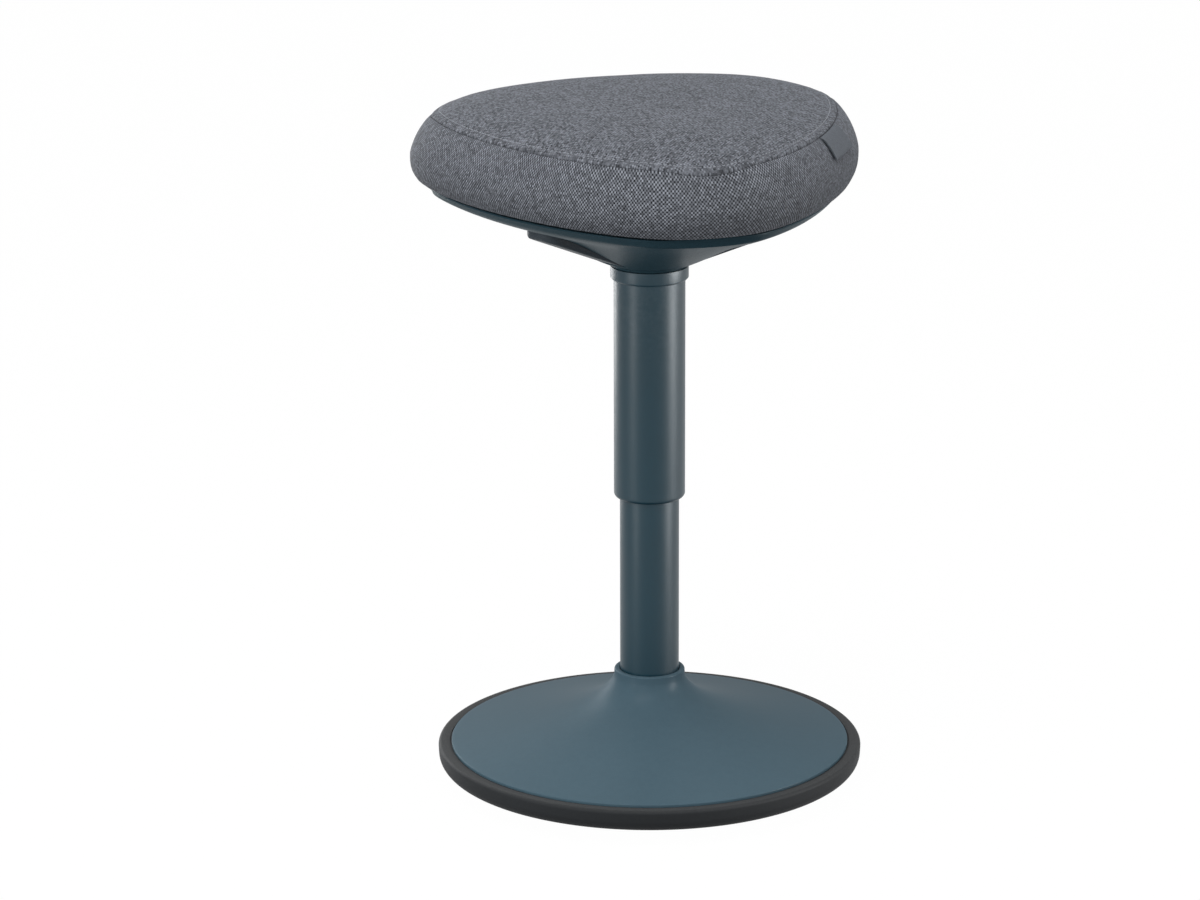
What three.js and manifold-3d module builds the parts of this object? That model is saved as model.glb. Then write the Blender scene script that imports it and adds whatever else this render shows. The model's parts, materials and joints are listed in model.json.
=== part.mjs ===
// Wobble stool: a round rocking base, a telescopic gas column and a three-cornered seat with release levers
// Millimetres, +Z up, the floor at zero, the nose of the seat towards -Y

import * as THREE from 'three';
import { mergeVertices } from 'three/addons/utils/BufferGeometryUtils.js';
import Module from 'manifold-3d';

const wasm = await Module();
wasm.setup();

// General fits
const clearance = 0.3; // between pieces that touch
const overrun = 2; // how far a cut runs past the face that it opens

// Rocking base
const soleFlatRadius = 45; // flat centre that the stool stands on
const soleRimRadius = 163;
const soleSag = 12; // rise of the rocker from its flat centre to its rim
const soleRimHeight = 4; // upright edge above the rocker, up to the weight plate
const soleWall = 4;
const soleRibWidth = 5;
const soleRibShares = [0.66, 0.34];
const ringWidth = 17; // from the ring's bore to its outside
const ringHeight = 19.4;
const ringShoulderRadius = 3;
const ringLowerRadius = 10.8;
const ringStepDepth = 0.8; // how far the cover's rim sits below the ring's top
const ringLipWidth = 7.8; // flat top of the ring outside the cover
const plateHeight = 8;
const coverWall = 2.5;
const coverEdgeRise = 2; // the cover's edge stands above the ring
const coverNeckRadius = 29.9;
const coverRise = 62.6; // from the cover's edge to the top of its collar
const coverNeckFillet = 2.4;
const coverCollarHeight = 6; // upright part at the top of the cover
const coverFlareReach = 44; // how far out the flare keeps its tight bend
const coverFlareShare = 0.345; // share of the rise at which the flare turns flat

// Stand tube and its hub
const standTubeRadius = 25;
const standTubeWall = 2;
const standTubeDrop = 2.3; // how far the stand tube reaches below the weight plate
const standTubeFloor = 3;
const hubWall = 5;
const hubHeight = 38;
const hubFlangeRadius = 62;
const hubFlangeHeight = 5;
const hubScrewCircle = 48;
const hubScrewCount = 4;
const hubScrewRadius = 4;
const hubScrewHeadRadius = 7;
const hubScrewHeadHeight = 5;
const bushingDepth = 76;
const bushingFlangeHeight = 3;

// Gas spring
const cylinderRadius = 14;
const cylinderWall = 2.5;
const cylinderLength = 292;
const cylinderInsertion = 110; // length of cylinder left in the stand tube with the seat fully up
const taperLength = 34;
const taperTopRadius = 12.6;
const headDepth = 27; // solid head of the cylinder above its chamber
const liftTravel = 140;
const rodRadius = 5;
const rodNeckRadius = 4;
const rodHeadRadius = 6.5;
const rodHeadHeight = 2.7;
const rodTail = 4; // length of rod below the stand tube's floor
const rodCollarRadius = 8;
const rodCollarHeight = 3.6;
const pistonHeight = 12;
const glandHeight = 14;
const glandGap = 4; // between the gland and the piston with the seat fully up
const clipRadius = 9;
const clipHeight = 2.4;
const bearingRadius = 14;
const washerHeight = 2;
const cageHeight = 3;
const ballRadius = 2.2;
const ballCircle = 10;
const ballCount = 10;
const bumpRadius = 11;
const bumpLength = 19;
const bumpGap = 0.5; // left under the cylinder with the seat fully down

// Upper tube and collar
const upperTubeRadius = 30;
const upperTubeWall = 2;
const tubeOverlap = 51.7; // length of stand tube inside the upper tube with the seat fully up
const upperTubeLipGap = 0.6; // running gap of the rolled end round the stand tube
const upperTubeRoll = 4;
const collarWall = 2.5;
const collarHeight = 11.4;
const collarChamfer = 1.6;

// Seat outline, drawn by the distance of its edge in each direction
const seatMeanRadius = 187.2;
const seatLobe = 17.3; // corners stand out and sides draw in by this
const seatLobeTrim = 2.2; // evens the bend of the corners
const noseAngle = -Math.PI / 2;
const cornerCount = 3;

// Pan under the seat
const panNeckRadius = 32.4;
const panNeckDrop = 32.3; // from the top of the gas cylinder down to the pan's neck
const panNeckHeight = 2.4;
const panDepth = 65.7; // from the foot of the neck to the rim
const panWall = 3;
const panFlareRadius = 40;
const panFlareRise = 4.7;
const panFloorRise = 15.3;
const panFloorSlope = 1; // rise of the floor from its middle to its edge
const panTubeDepth = 12.3; // how deep the upper tube stands in the neck
const panRimShare = 0.92; // the pan's rim as a share of the seat outline
const panLipHeight = 1.9;
const panLipReach = 1.5;
const panSkirtHeight = 6.4; // upright wall under the lip at the corners
const panSkirtInset = 4;
const panRollShares = [0.25, 0.5]; // reach and rise of the roll between neck and funnel
const panSkirtShares = [[0.5, 0.08, 0.875], [1, 0.33, 0.66]]; // reach, rise and scoop round the skirt's foot
const panScoopDepth = 6; // the pan is scooped up round each lever
const panScoopShare = 0.6; // share of the way out over which the scoop grows
const panRibThickness = 2.5;
const panRibGap = 4; // between the mount's arms and the ribs
const panRibAngle = 0.24; // in radians to each side of a corner's direction
const panPadGap = 1; // between the turned-in cover and what reaches up to the board

// Levers and release
const leverTipInset = 23.3; // from the pan's rim to a lever's tip
const leverWidth = 35;
const leverGap = 1;
const leverRootRadius = 47;
const leverRootDrop = 21.4; // from the pivot down to the lever's root
const leverHeadroom = 4.6; // air left over the tip when the lever is pulled up
const leverTipThickness = 9;
const leverCornerRadius = 9;
const leverTipRound = 1.5;
const leverRange = 5; // degrees
const pivotRadius = 52;
const pivotDrop = 2; // from the top of the gas cylinder down to the pivots
const pivotBossRadius = 5.5;
const pinRadius = 2.5;
const pocketWall = 2.5;
const pocketStart = 45.5;
const pocketEndGap = 2.5;
const pocketRoof = 3;
const fingerWidth = 9;
const fingerTipRadius = 8;
const fingerTipLength = 9;
const fingerRise = 11; // from the top of the gas cylinder up to the fingers
const fingerThickness = 5;
const spoolRadius = 15;
const spoolCoreRadius = 5;
const spoolFlange = 2.2;
const spoolPlay = 1.4;
const spoolSocketDepth = 4.5;
const valvePinRadius = 3;
const valvePinLength = 23;

// Steel mount between gas spring and board
const mountSleeveRadius = 19.5;
const mountSleeveHeight = 30;
const mountPlateThickness = 3.5;
const mountDiscRadius = 40;
const mountArmReach = 80;
const mountArmWidth = 38;
const mountWebThickness = 4;
const mountWebInset = 20; // from the end of each arm
const mountScrewRadius = 2.5;
const mountScrewHeadRadius = 5.5;
const mountScrewHeadHeight = 3.2;
const mountScrewInset = 13; // from the end of each arm
const panScrewRadius = 2;
const panScrewHeadRadius = 4.2;
const panScrewHeadHeight = 2.4;
const panScrewInset = 25.5; // from the outer end of a lever's pocket
const panScrewSpread = 20;

// Board, foam and cover
const boardThickness = 10;
const boardScrewBite = 7;
const coverSkin = 1.5;
const coverTurnIn = 15; // width of the band turned in under the board
const sideRise = 25.3; // from the cushion's foot to its widest
const shoulderRise = 34.8; // from there to its shoulder
const crownRise = 14.2; // from the shoulder to the middle of the top
const shoulderShare = 0.905; // the shoulder as a share of the seat outline
const shoulderDip = 3; // the shoulder runs lower at the corners
const lowerRound = 2.2; // exponents of the rounded side, shoulder and crown
const upperRound = 1.15;
const crownRound = 2.5;
const dipFade = 3; // how fast the dip fades from the shoulder to the middle of the top
const skinTilts = [-50, 0, 50, 90]; // degrees above level in which the skin faces at each whole level
const seamShare = 0.88; // share of the way from the widest to the shoulder at which the seam runs
const tabWidth = 50;
const tabLength = 23;
const tabThickness = 1.2;

// Fineness
const baseSides = 40;
const columnSides = 32;
const innerSides = 20;
const screwSides = 8;
const pinSides = 12;
const seatSides = 36;
const cushionSides = 36;
const soleSteps = 4;
const roundSteps = 4;
const filletSteps = 2;
const rollSteps = 3;
const flareSteps = 8;
const panSteps = 5;
const hollowSteps = 4;
const lowerSteps = 5;
const upperSteps = 4;
const topSteps = 5;
const edgeSteps = 1;
const tabSteps = 5;
const ballSides = 6;
const ballRings = 4;
const mergeTolerance = 1e-4;

// Places in the base, from the floor up
const ringInnerRadius = soleRimRadius + clearance;
const ringRadius = ringInnerRadius + ringWidth;
const ringTop = soleSag + ringHeight;
const soleTop = soleSag + soleRimHeight;
const coverEdgeRadius = ringRadius - ringShoulderRadius - ringLipWidth;
const coverEdgeHeight = ringTop + coverEdgeRise;
const coverTop = coverEdgeHeight + coverRise;
const coverFlareLevel = coverEdgeHeight + coverFlareShare * coverRise;
const plateBottom = soleTop + clearance;
const plateTop = plateBottom + plateHeight;
const hubBottom = plateTop + clearance;
const hubFlangeTop = hubBottom + hubFlangeHeight;
const tubeBoreRadius = standTubeRadius + clearance;

// Places in the column
const standTubeBottom = plateBottom - standTubeDrop;
const tubeFloorTop = standTubeBottom + standTubeFloor;
const bearingBottom = tubeFloorTop + clearance;
const cageBottom = bearingBottom + washerHeight + clearance + ballRadius - cageHeight / 2;
const upperWasherBottom = bearingBottom + washerHeight + 2 * (ballRadius + clearance);
const rodCollarBottom = upperWasherBottom + washerHeight + clearance;
const rodCollarTop = rodCollarBottom + rodCollarHeight;
const bumpTop = rodCollarTop + clearance + bumpLength;
const cylinderBottom = bumpTop + bumpGap + liftTravel;
const cylinderTop = cylinderBottom + cylinderLength;
const taperStart = cylinderTop - taperLength;
const standTubeTop = cylinderBottom + cylinderInsertion;
const glandBottom = cylinderBottom + clearance;
const pistonBottom = glandBottom + glandHeight + glandGap;
const chamberRadius = cylinderRadius - cylinderWall;
const upperTubeInner = upperTubeRadius - upperTubeWall;
const upperTubeBottom = standTubeTop - tubeOverlap;

// Places under the seat
const panNeckBottom = cylinderTop - panNeckDrop;
const panFlareHeight = panNeckBottom + panFlareRise;
const panFloorHeight = panNeckBottom + panFloorRise;
const panRimHeight = panNeckBottom + panDepth;
const panTubeStop = panNeckBottom + panTubeDepth;
const upperTubeTop = panTubeStop - clearance;
const panBoreRadius = upperTubeRadius + clearance;
const collarTop = panNeckBottom - clearance;
const coverBottom = panRimHeight + clearance;
const boardBottom = coverBottom + coverSkin + clearance;
const boardTop = boardBottom + boardThickness;
const padHeight = boardBottom - clearance; // what reaches up between pan and board
const mountPlateBottom = padHeight - mountPlateThickness;
const mountWebReach = mountArmReach - mountWebInset;
const panSideRadius = panRimShare * (seatMeanRadius - seatLobe - seatLobeTrim);

// Places of levers and release
const leverReach = panSideRadius - leverTipInset;
const leverLift = (leverReach - pivotRadius) * Math.tan(THREE.MathUtils.degToRad(leverRange));
const pocketTop = padHeight - pocketRoof;
const pocketWidth = leverWidth + 2 * leverGap;
const pocketEnd = leverReach + pocketEndGap;
const leverTipTop = pocketTop - leverHeadroom - leverLift;
const leverTipBottom = leverTipTop - leverTipThickness;
const pivotHeight = cylinderTop - pivotDrop;
const leverRootHeight = pivotHeight - leverRootDrop;
const pinBoreRadius = pinRadius + clearance;
const fingerTipBottom = cylinderTop + fingerRise;
const fingerTipTop = fingerTipBottom + fingerThickness;
const spoolGrooveBottom = fingerTipBottom - spoolPlay;
const spoolGrooveTop = fingerTipTop + spoolPlay;
const spoolBottom = spoolGrooveBottom - spoolFlange;
const valvePinTop = spoolBottom + spoolSocketDepth - clearance;
const valvePinBottom = valvePinTop - valvePinLength;
const fingerReach = pivotRadius - fingerTipRadius - fingerTipLength / 2;
const releaseStroke = fingerReach * Math.tan(THREE.MathUtils.degToRad(leverRange));
const panScrewCircle = pocketEnd - panScrewInset;

// Places in the cushion
const foamBottom = boardTop + clearance;
const coverInset = coverSkin + clearance;
const wideHeight = coverBottom + sideRise;
const shoulderHeight = wideHeight + shoulderRise;
const seamLevel = 1 + seamShare;
const seamGap = clearance / shoulderRise; // from the seam to the edge of each panel, as a step of level
const panelMiddleLevel = 3 - coverSkin / seatMeanRadius;

// Directions round the seat
const cornerStep = (2 * Math.PI) / cornerCount;
const cornerAngles = Array.from({ length: cornerCount }, (_, i) => noseAngle + i * cornerStep);
const leverAngles = cornerAngles.map((angle) => angle + cornerStep / 2);
const tabAngle = leverAngles[0]; // middle of the side to the right of the nose

// Materials
const paint = { color: 0x2f4652, roughness: 0.45, metalness: 0.3 };
const coverPaint = { color: 0x3f5663, roughness: 0.5, metalness: 0.3 };
const panPlastic = { color: 0x2d434e, roughness: 0.55, metalness: 0 };
const rubber = { color: 0x26292b, roughness: 0.8, metalness: 0 };
const steel = { color: 0x9a9ea3, roughness: 0.35, metalness: 1 };
const iron = { color: 0x4a4a4c, roughness: 0.7, metalness: 0.6 };
const plastic = { color: 0x202224, roughness: 0.5, metalness: 0 };
const plywood = { color: 0xb08a5a, roughness: 0.7, metalness: 0 };
const foam = { color: 0xd8d2b8, roughness: 0.95, metalness: 0 };
const fabric = { color: 0x61656d, roughness: 0.95, metalness: 0 };
const labelCloth = { color: 0x5a6068, roughness: 0.7, metalness: 0 };

// Turns a closed triangle mesh into a solid whose faces point out
function toSolid(geometry) {
  geometry.deleteAttribute('normal');
  geometry.deleteAttribute('uv');
  const merged = mergeVertices(geometry, mergeTolerance);
  const places = merged.attributes.position;
  const index = [...merged.index.array];
  const corner = [new THREE.Vector3(), new THREE.Vector3(), new THREE.Vector3()];
  const triangles = [];
  let volume = 0;
  for (let i = 0; i < index.length; i += 3) {
    const [a, b, c] = index.slice(i, i + 3);
    if (a === b || b === c || c === a) continue;
    corner[0].fromBufferAttribute(places, a);
    corner[1].fromBufferAttribute(places, b);
    corner[2].fromBufferAttribute(places, c);
    volume += corner[0].dot(corner[1].clone().cross(corner[2]));
    triangles.push([a, b, c]);
  }
  const ordered = volume < 0 ? triangles.map(([a, b, c]) => [a, c, b]) : triangles;
  return new wasm.Manifold(new wasm.Mesh({
    numProp: 3,
    vertProperties: new Float32Array(places.array),
    triVerts: new Uint32Array(ordered.flat()),
  }));
}

// Turns a solid back into geometry for a mesh
function toGeometry(solid) {
  const mesh = solid.getMesh();
  const geometry = new THREE.BufferGeometry();
  geometry.setAttribute('position', new THREE.BufferAttribute(new Float32Array(mesh.vertProperties), 3));
  geometry.setIndex(new THREE.BufferAttribute(new Uint32Array(mesh.triVerts), 1));
  geometry.computeVertexNormals();
  return geometry;
}

// Revolves a profile of [radius, height] points round the Z axis
function revolve(profile, sides) {
  const points = profile.map(([radius, height]) => new THREE.Vector2(radius, height));
  return toSolid(new THREE.LatheGeometry(points, sides).rotateX(Math.PI / 2));
}

// Revolves a closed ring profile, given without its last point
function revolveRing(profile, sides) {
  return revolve([...profile, profile[0]], sides);
}

// A plain tube or disc between two heights
function tube(inner, outer, bottom, top, sides) {
  if (inner > 0) return revolveRing([[inner, bottom], [outer, bottom], [outer, top], [inner, top]], sides);
  return revolve([[0, bottom], [outer, bottom], [outer, top], [0, top]], sides);
}

// A box from its lowest and highest corner
function box(low, high) {
  const size = high.map((value, i) => value - low[i]);
  const middle = high.map((value, i) => (value + low[i]) / 2);
  return toSolid(new THREE.BoxGeometry(...size).translate(...middle));
}

// Pulls a flat outline of [x, z] points to the given width across Y
function slab(outline, width) {
  const shape = new THREE.Shape(outline.map(([x, z]) => new THREE.Vector2(x, z)));
  const geometry = new THREE.ExtrudeGeometry(shape, { depth: width, bevelEnabled: false });
  return toSolid(geometry.rotateX(Math.PI / 2).translate(0, width / 2, 0));
}

// Joins rings of equal length into a closed skin, looped or capped at its ends
function skin(rings, looped) {
  const count = rings[0].length;
  const places = rings.flat().flatMap((point) => point.toArray());
  const index = [];
  const last = looped ? rings.length : rings.length - 1;
  for (let i = 0; i < last; i += 1) {
    const here = i * count;
    const next = ((i + 1) % rings.length) * count;
    for (let j = 0; j < count; j += 1) {
      const k = (j + 1) % count;
      index.push(here + j, here + k, next + k, here + j, next + k, next + j);
    }
  }
  if (!looped) {
    for (const [ring, flip] of [[0, true], [rings.length - 1, false]]) {
      const middle = new THREE.Vector3();
      rings[ring].forEach((point) => middle.add(point));
      middle.divideScalar(count);
      const hub = places.length / 3;
      places.push(...middle.toArray());
      for (let j = 0; j < count; j += 1) {
        const a = ring * count + j;
        const b = ring * count + ((j + 1) % count);
        index.push(...(flip ? [hub, b, a] : [hub, a, b]));
      }
    }
  }
  const geometry = new THREE.BufferGeometry();
  geometry.setAttribute('position', new THREE.BufferAttribute(new Float32Array(places), 3));
  geometry.setIndex(index);
  return toSolid(geometry);
}

// Turns a solid round the Z axis
function turned(solid, angle) {
  return solid.rotate([0, 0, THREE.MathUtils.radToDeg(angle)]);
}

// Points of an arc in a profile, by centre, radius and angles in degrees
function arc(centre, radius, from, to, steps) {
  return Array.from({ length: steps + 1 }, (_, i) => {
    const angle = THREE.MathUtils.degToRad(from + ((to - from) * i) / steps);
    return [centre[0] + radius * Math.cos(angle), centre[1] + radius * Math.sin(angle)];
  });
}

// Moves a profile sideways by a distance, to its left seen along its points
function offsetProfile(points, distance) {
  return points.map(([radius, height], i) => {
    const before = points[Math.max(i - 1, 0)];
    const after = points[Math.min(i + 1, points.length - 1)];
    const run = new THREE.Vector2(after[0] - before[0], after[1] - before[1]).normalize();
    return [radius - run.y * distance, height + run.x * distance];
  });
}

// Group that holds every piece
const group = new THREE.Group();
function addPiece(name, solid, finish) {
  const mesh = new THREE.Mesh(toGeometry(solid), new THREE.MeshStandardMaterial(finish));
  mesh.name = name;
  group.add(mesh);
}

// A screw whose head bears on the given height, with its shank up (1) or down (-1)
function screw(headSeat, headHeight, headRadius, shankRadius, length, direction) {
  const headEnd = headSeat - direction * headHeight;
  const tip = headSeat + direction * length;
  const profile = [[0, headEnd], [headRadius, headEnd], [headRadius, headSeat]];
  profile.push([shankRadius, headSeat], [shankRadius, tip], [0, tip]);
  return revolve(profile, screwSides);
}

// Rocker sole: a domed dish with ring ribs that carry the weight plate
function makeSole() {
  const arcRun = soleRimRadius - soleFlatRadius;
  const arcRadius = (arcRun * arcRun + soleSag * soleSag) / (2 * soleSag);
  const rise = (radius) => {
    const run = Math.max(radius - soleFlatRadius, 0);
    return arcRadius - Math.sqrt(arcRadius * arcRadius - run * run);
  };
  const under = Array.from({ length: soleSteps + 1 }, (_, i) => {
    const radius = soleFlatRadius + (arcRun * i) / soleSteps;
    return [radius, rise(radius)];
  });
  const inside = [[soleRimRadius, soleTop]];
  let wallInner = soleRimRadius - soleRibWidth;
  inside.push([wallInner, soleTop], [wallInner, rise(wallInner) + soleWall]);
  for (const share of soleRibShares) {
    const outer = soleRimRadius * share;
    wallInner = outer - soleRibWidth;
    inside.push([outer, rise(outer) + soleWall], [outer, soleTop]);
    inside.push([wallInner, soleTop], [wallInner, rise(wallInner) + soleWall]);
  }
  return revolve([[0, 0], ...under, ...inside, [0, soleWall]], baseSides);
}

// Rubber ring round the base, grooved for the rims of plate and cover
function makeRing() {
  const shoulder = [ringRadius - ringShoulderRadius, ringTop - ringShoulderRadius];
  const stepHeight = ringTop - ringStepDepth;
  const lowerCentre = [ringRadius - ringLowerRadius - clearance, soleSag + ringLowerRadius];
  return revolveRing([
    [ringInnerRadius, soleSag],
    ...arc(lowerCentre, ringLowerRadius, -90, 0, roundSteps),
    ...arc(shoulder, ringShoulderRadius, 0, 90, filletSteps),
    [coverEdgeRadius + clearance, ringTop],
    [coverEdgeRadius + clearance, stepHeight],
    [ringInnerRadius, stepHeight],
  ], baseSides);
}

// Flared cover: a thin shell from its rim up to the collar round the stand tube
function makeCover() {
  const flare = new THREE.CubicBezierCurve(
    new THREE.Vector2(coverEdgeRadius, coverEdgeHeight),
    new THREE.Vector2(coverNeckRadius + coverFlareReach, coverFlareLevel),
    new THREE.Vector2(coverNeckRadius, coverFlareLevel + coverWall),
    new THREE.Vector2(coverNeckRadius, coverTop - coverCollarHeight),
  ).getPoints(flareSteps).map((point) => [point.x, point.y]);
  const filletCentre = [coverNeckRadius - coverNeckFillet, coverTop - coverNeckFillet];
  const outside = [...flare, ...arc(filletCentre, coverNeckFillet, 0, 90, filletSteps)];
  const inside = offsetProfile(flare, coverWall);
  inside[0] = [coverEdgeRadius - coverWall / 2, ringTop - ringStepDepth + clearance];
  const rim = [coverEdgeRadius, ringTop - ringStepDepth + clearance];
  const innerTop = inside[inside.length - 1];
  const collar = [[tubeBoreRadius, coverTop], [tubeBoreRadius, innerTop[1]], innerTop];
  return revolveRing([rim, ...outside, ...collar, ...inside.slice(0, -1).reverse()], baseSides);
}

// Directions of the hub screws, halfway between the axes
const hubScrewStep = (2 * Math.PI) / hubScrewCount;
const hubScrewAngles = Array.from({ length: hubScrewCount }, (_, i) => hubScrewStep * (i + 0.5));

// Drills weight plate and hub alike for the hub screws
function drillHubHoles(solid) {
  return hubScrewAngles.reduce((rest, angle) => {
    const bottom = plateBottom - overrun;
    const top = hubFlangeTop + overrun;
    const hole = tube(0, hubScrewRadius + clearance, bottom, top, screwSides);
    return rest.subtract(turned(hole.translate([hubScrewCircle, 0, 0]), angle));
  }, solid);
}

function addBase() {
  addPiece('rocker_sole', makeSole(), rubber);
  addPiece('base_ring', makeRing(), rubber);
  addPiece('base_cover', makeCover(), coverPaint);
  const plate = tube(tubeBoreRadius, soleRimRadius, plateBottom, plateTop, baseSides);
  addPiece('weight_plate', drillHubHoles(plate), iron);
  const sleeveRadius = tubeBoreRadius + hubWall;
  const hubTop = hubBottom + hubHeight;
  const hub = revolveRing([
    [tubeBoreRadius, hubBottom], [hubFlangeRadius, hubBottom], [hubFlangeRadius, hubFlangeTop],
    [sleeveRadius, hubFlangeTop], [sleeveRadius, hubTop], [tubeBoreRadius, hubTop],
  ], columnSides);
  addPiece('tube_hub', drillHubHoles(hub), steel);
  hubScrewAngles.forEach((angle, i) => {
    const length = hubFlangeTop - plateBottom;
    const seat = hubFlangeTop + clearance;
    const bolt = screw(seat, hubScrewHeadHeight, hubScrewHeadRadius, hubScrewRadius, length, -1);
    addPiece(`hub_screw_${i + 1}`, turned(bolt.translate([hubScrewCircle, 0, 0]), angle), steel);
  });
}

function addStandTube() {
  const inner = standTubeRadius - standTubeWall;
  const washerBore = rodRadius + clearance;
  addPiece('stand_tube', revolveRing([
    [washerBore, standTubeBottom], [standTubeRadius, standTubeBottom], [standTubeRadius, standTubeTop],
    [inner, standTubeTop], [inner, tubeFloorTop], [washerBore, tubeFloorTop],
  ], columnSides), paint);
  const bore = cylinderRadius + clearance;
  const outer = inner - clearance;
  const flangeBottom = standTubeTop + clearance;
  const flangeTop = flangeBottom + bushingFlangeHeight;
  const bushingBottom = flangeTop - bushingDepth;
  addPiece('tube_bushing', revolveRing([
    [bore, bushingBottom], [outer, bushingBottom], [outer, flangeBottom],
    [standTubeRadius, flangeBottom], [standTubeRadius, flangeTop], [bore, flangeTop],
  ], innerSides), plastic);
  const washerTop = bearingBottom + washerHeight;
  addPiece('lower_washer', tube(washerBore, bearingRadius, bearingBottom, washerTop, innerSides), steel);
}

// Ball cage: a ring with the balls seated in it, joined as one piece
function makeCage() {
  const ring = tube(rodRadius + clearance, bearingRadius, cageBottom, cageBottom + cageHeight, innerSides);
  const middle = cageBottom + cageHeight / 2;
  let cage = ring;
  for (let i = 0; i < ballCount; i += 1) {
    const ball = new THREE.SphereGeometry(ballRadius, ballSides, ballRings).translate(ballCircle, 0, middle);
    cage = cage.add(turned(toSolid(ball), (i * 2 * Math.PI) / ballCount));
  }
  return cage;
}

function addRod() {
  const pistonTop = pistonBottom + pistonHeight;
  const neckBottom = pistonBottom - clearance;
  const headBottom = pistonTop + clearance;
  const tail = standTubeBottom - rodTail;
  addPiece('piston_rod', revolve([
    [0, tail], [rodRadius, tail], [rodRadius, rodCollarBottom], [rodCollarRadius, rodCollarBottom],
    [rodCollarRadius, rodCollarTop], [rodRadius, rodCollarTop], [rodRadius, neckBottom],
    [rodNeckRadius, neckBottom], [rodNeckRadius, headBottom], [rodHeadRadius, headBottom],
    [rodHeadRadius, headBottom + rodHeadHeight], [0, headBottom + rodHeadHeight],
  ], innerSides), steel);
  const pistonRadius = chamberRadius - clearance;
  const pistonBore = rodNeckRadius + clearance;
  addPiece('piston', tube(pistonBore, pistonRadius, pistonBottom, pistonTop, innerSides), plastic);
  const bore = rodRadius + clearance;
  const clipTop = standTubeBottom - clearance;
  addPiece('rod_clip', tube(bore, clipRadius, clipTop - clipHeight, clipTop, innerSides), steel);
  addPiece('ball_cage', makeCage(), steel);
  const washerTop = upperWasherBottom + washerHeight;
  addPiece('upper_washer', tube(bore, bearingRadius, upperWasherBottom, washerTop, innerSides), steel);
  addPiece('bump_stop', tube(bore, bumpRadius, rodCollarTop + clearance, bumpTop, innerSides), rubber);
}

// Radius of the gas cylinder's tapered head at a height
function taperRadius(height) {
  const share = (height - taperStart) / taperLength;
  return cylinderRadius + (taperTopRadius - cylinderRadius) * Math.min(Math.max(share, 0), 1);
}

function addGasSpring() {
  const pinBore = valvePinRadius + clearance;
  const pinBoreBottom = valvePinBottom - releaseStroke - clearance;
  const chamberTop = cylinderTop - headDepth;
  const chamberEdge = Math.min(chamberTop, taperStart);
  addPiece('gas_cylinder', revolve([
    [0, chamberTop], [taperTopRadius - cylinderWall, chamberTop], [chamberRadius, chamberEdge],
    [chamberRadius, cylinderBottom], [cylinderRadius, cylinderBottom], [cylinderRadius, taperStart],
    [taperTopRadius, cylinderTop], [pinBore, cylinderTop], [pinBore, pinBoreBottom], [0, pinBoreBottom],
  ], innerSides), steel);
  const glandTop = glandBottom + glandHeight;
  const glandBore = rodRadius + clearance;
  const glandRadius = chamberRadius - clearance;
  addPiece('cylinder_gland', tube(glandBore, glandRadius, glandBottom, glandTop, innerSides), plastic);
}

// Upper tube with its lower end rolled in round the stand tube
function addUpperTube() {
  const lip = standTubeRadius + upperTubeLipGap;
  const rollHeight = upperTubeBottom + upperTubeRoll;
  const innerRoll = upperTubeRoll - upperTubeWall;
  const rollCentre = [upperTubeRadius - upperTubeRoll, rollHeight];
  addPiece('upper_tube', revolveRing([
    [lip, upperTubeBottom],
    ...arc(rollCentre, upperTubeRoll, -90, 0, rollSteps),
    [upperTubeRadius, upperTubeTop], [upperTubeInner, upperTubeTop],
    ...arc(rollCentre, innerRoll, 0, -90, filletSteps),
    [lip, upperTubeBottom + upperTubeWall],
  ], columnSides), paint);
  const outer = panBoreRadius + collarWall;
  const bottom = collarTop - collarHeight;
  addPiece('tube_collar', revolveRing([
    [panBoreRadius, bottom], [outer - collarChamfer, bottom], [outer, bottom + collarChamfer],
    [outer, collarTop], [panBoreRadius, collarTop],
  ], columnSides), paint);
}

// Point of the seat outline whose edge faces the given direction, drawn in by an inset
function outlinePoint(angle, share, inset, height) {
  const turn = angle - noseAngle;
  const lobes = seatLobe * Math.cos(cornerCount * turn) - seatLobeTrim * Math.cos(2 * cornerCount * turn);
  const swing = -cornerCount * seatLobe * Math.sin(cornerCount * turn)
    + 2 * cornerCount * seatLobeTrim * Math.sin(2 * cornerCount * turn);
  const reach = share * (seatMeanRadius + lobes) - inset;
  const side = share * swing;
  return new THREE.Vector3(
    reach * Math.cos(angle) - side * Math.sin(angle),
    reach * Math.sin(angle) + side * Math.cos(angle),
    height,
  );
}

// One ring of points round the seat, from a function of the direction
function ring(sides, point) {
  return Array.from({ length: sides }, (_, i) => point(noseAngle + (i * 2 * Math.PI) / sides));
}

// Radius in which the seat outline bends where its edge faces the given direction
function outlineBend(angle, share) {
  const turn = angle - noseAngle;
  const bend = (1 - cornerCount ** 2) * seatLobe * Math.cos(cornerCount * turn)
    - (1 - (2 * cornerCount) ** 2) * seatLobeTrim * Math.cos(2 * cornerCount * turn);
  return share * (seatMeanRadius + bend);
}

// How much of the lever scoop a direction has: none at a corner, all at a lever
function scoopShare(angle) {
  return (1 - Math.cos(cornerCount * (angle - noseAngle))) / 2;
}

// Ring of the pan: a circle that opens towards the rim outline as its share grows
function panRing(radius, share, height, scoop, inset) {
  return ring(seatSides, (angle) => {
    const rim = outlinePoint(angle, panRimShare, inset, 0);
    const facing = new THREE.Vector3(Math.cos(angle), Math.sin(angle), 0);
    const point = facing.clone().multiplyScalar(radius);
    point.add(rim.addScaledVector(facing, -panNeckRadius).multiplyScalar(share));
    point.z = height + scoop * panScoopDepth * scoopShare(angle);
    return point;
  });
}

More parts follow.
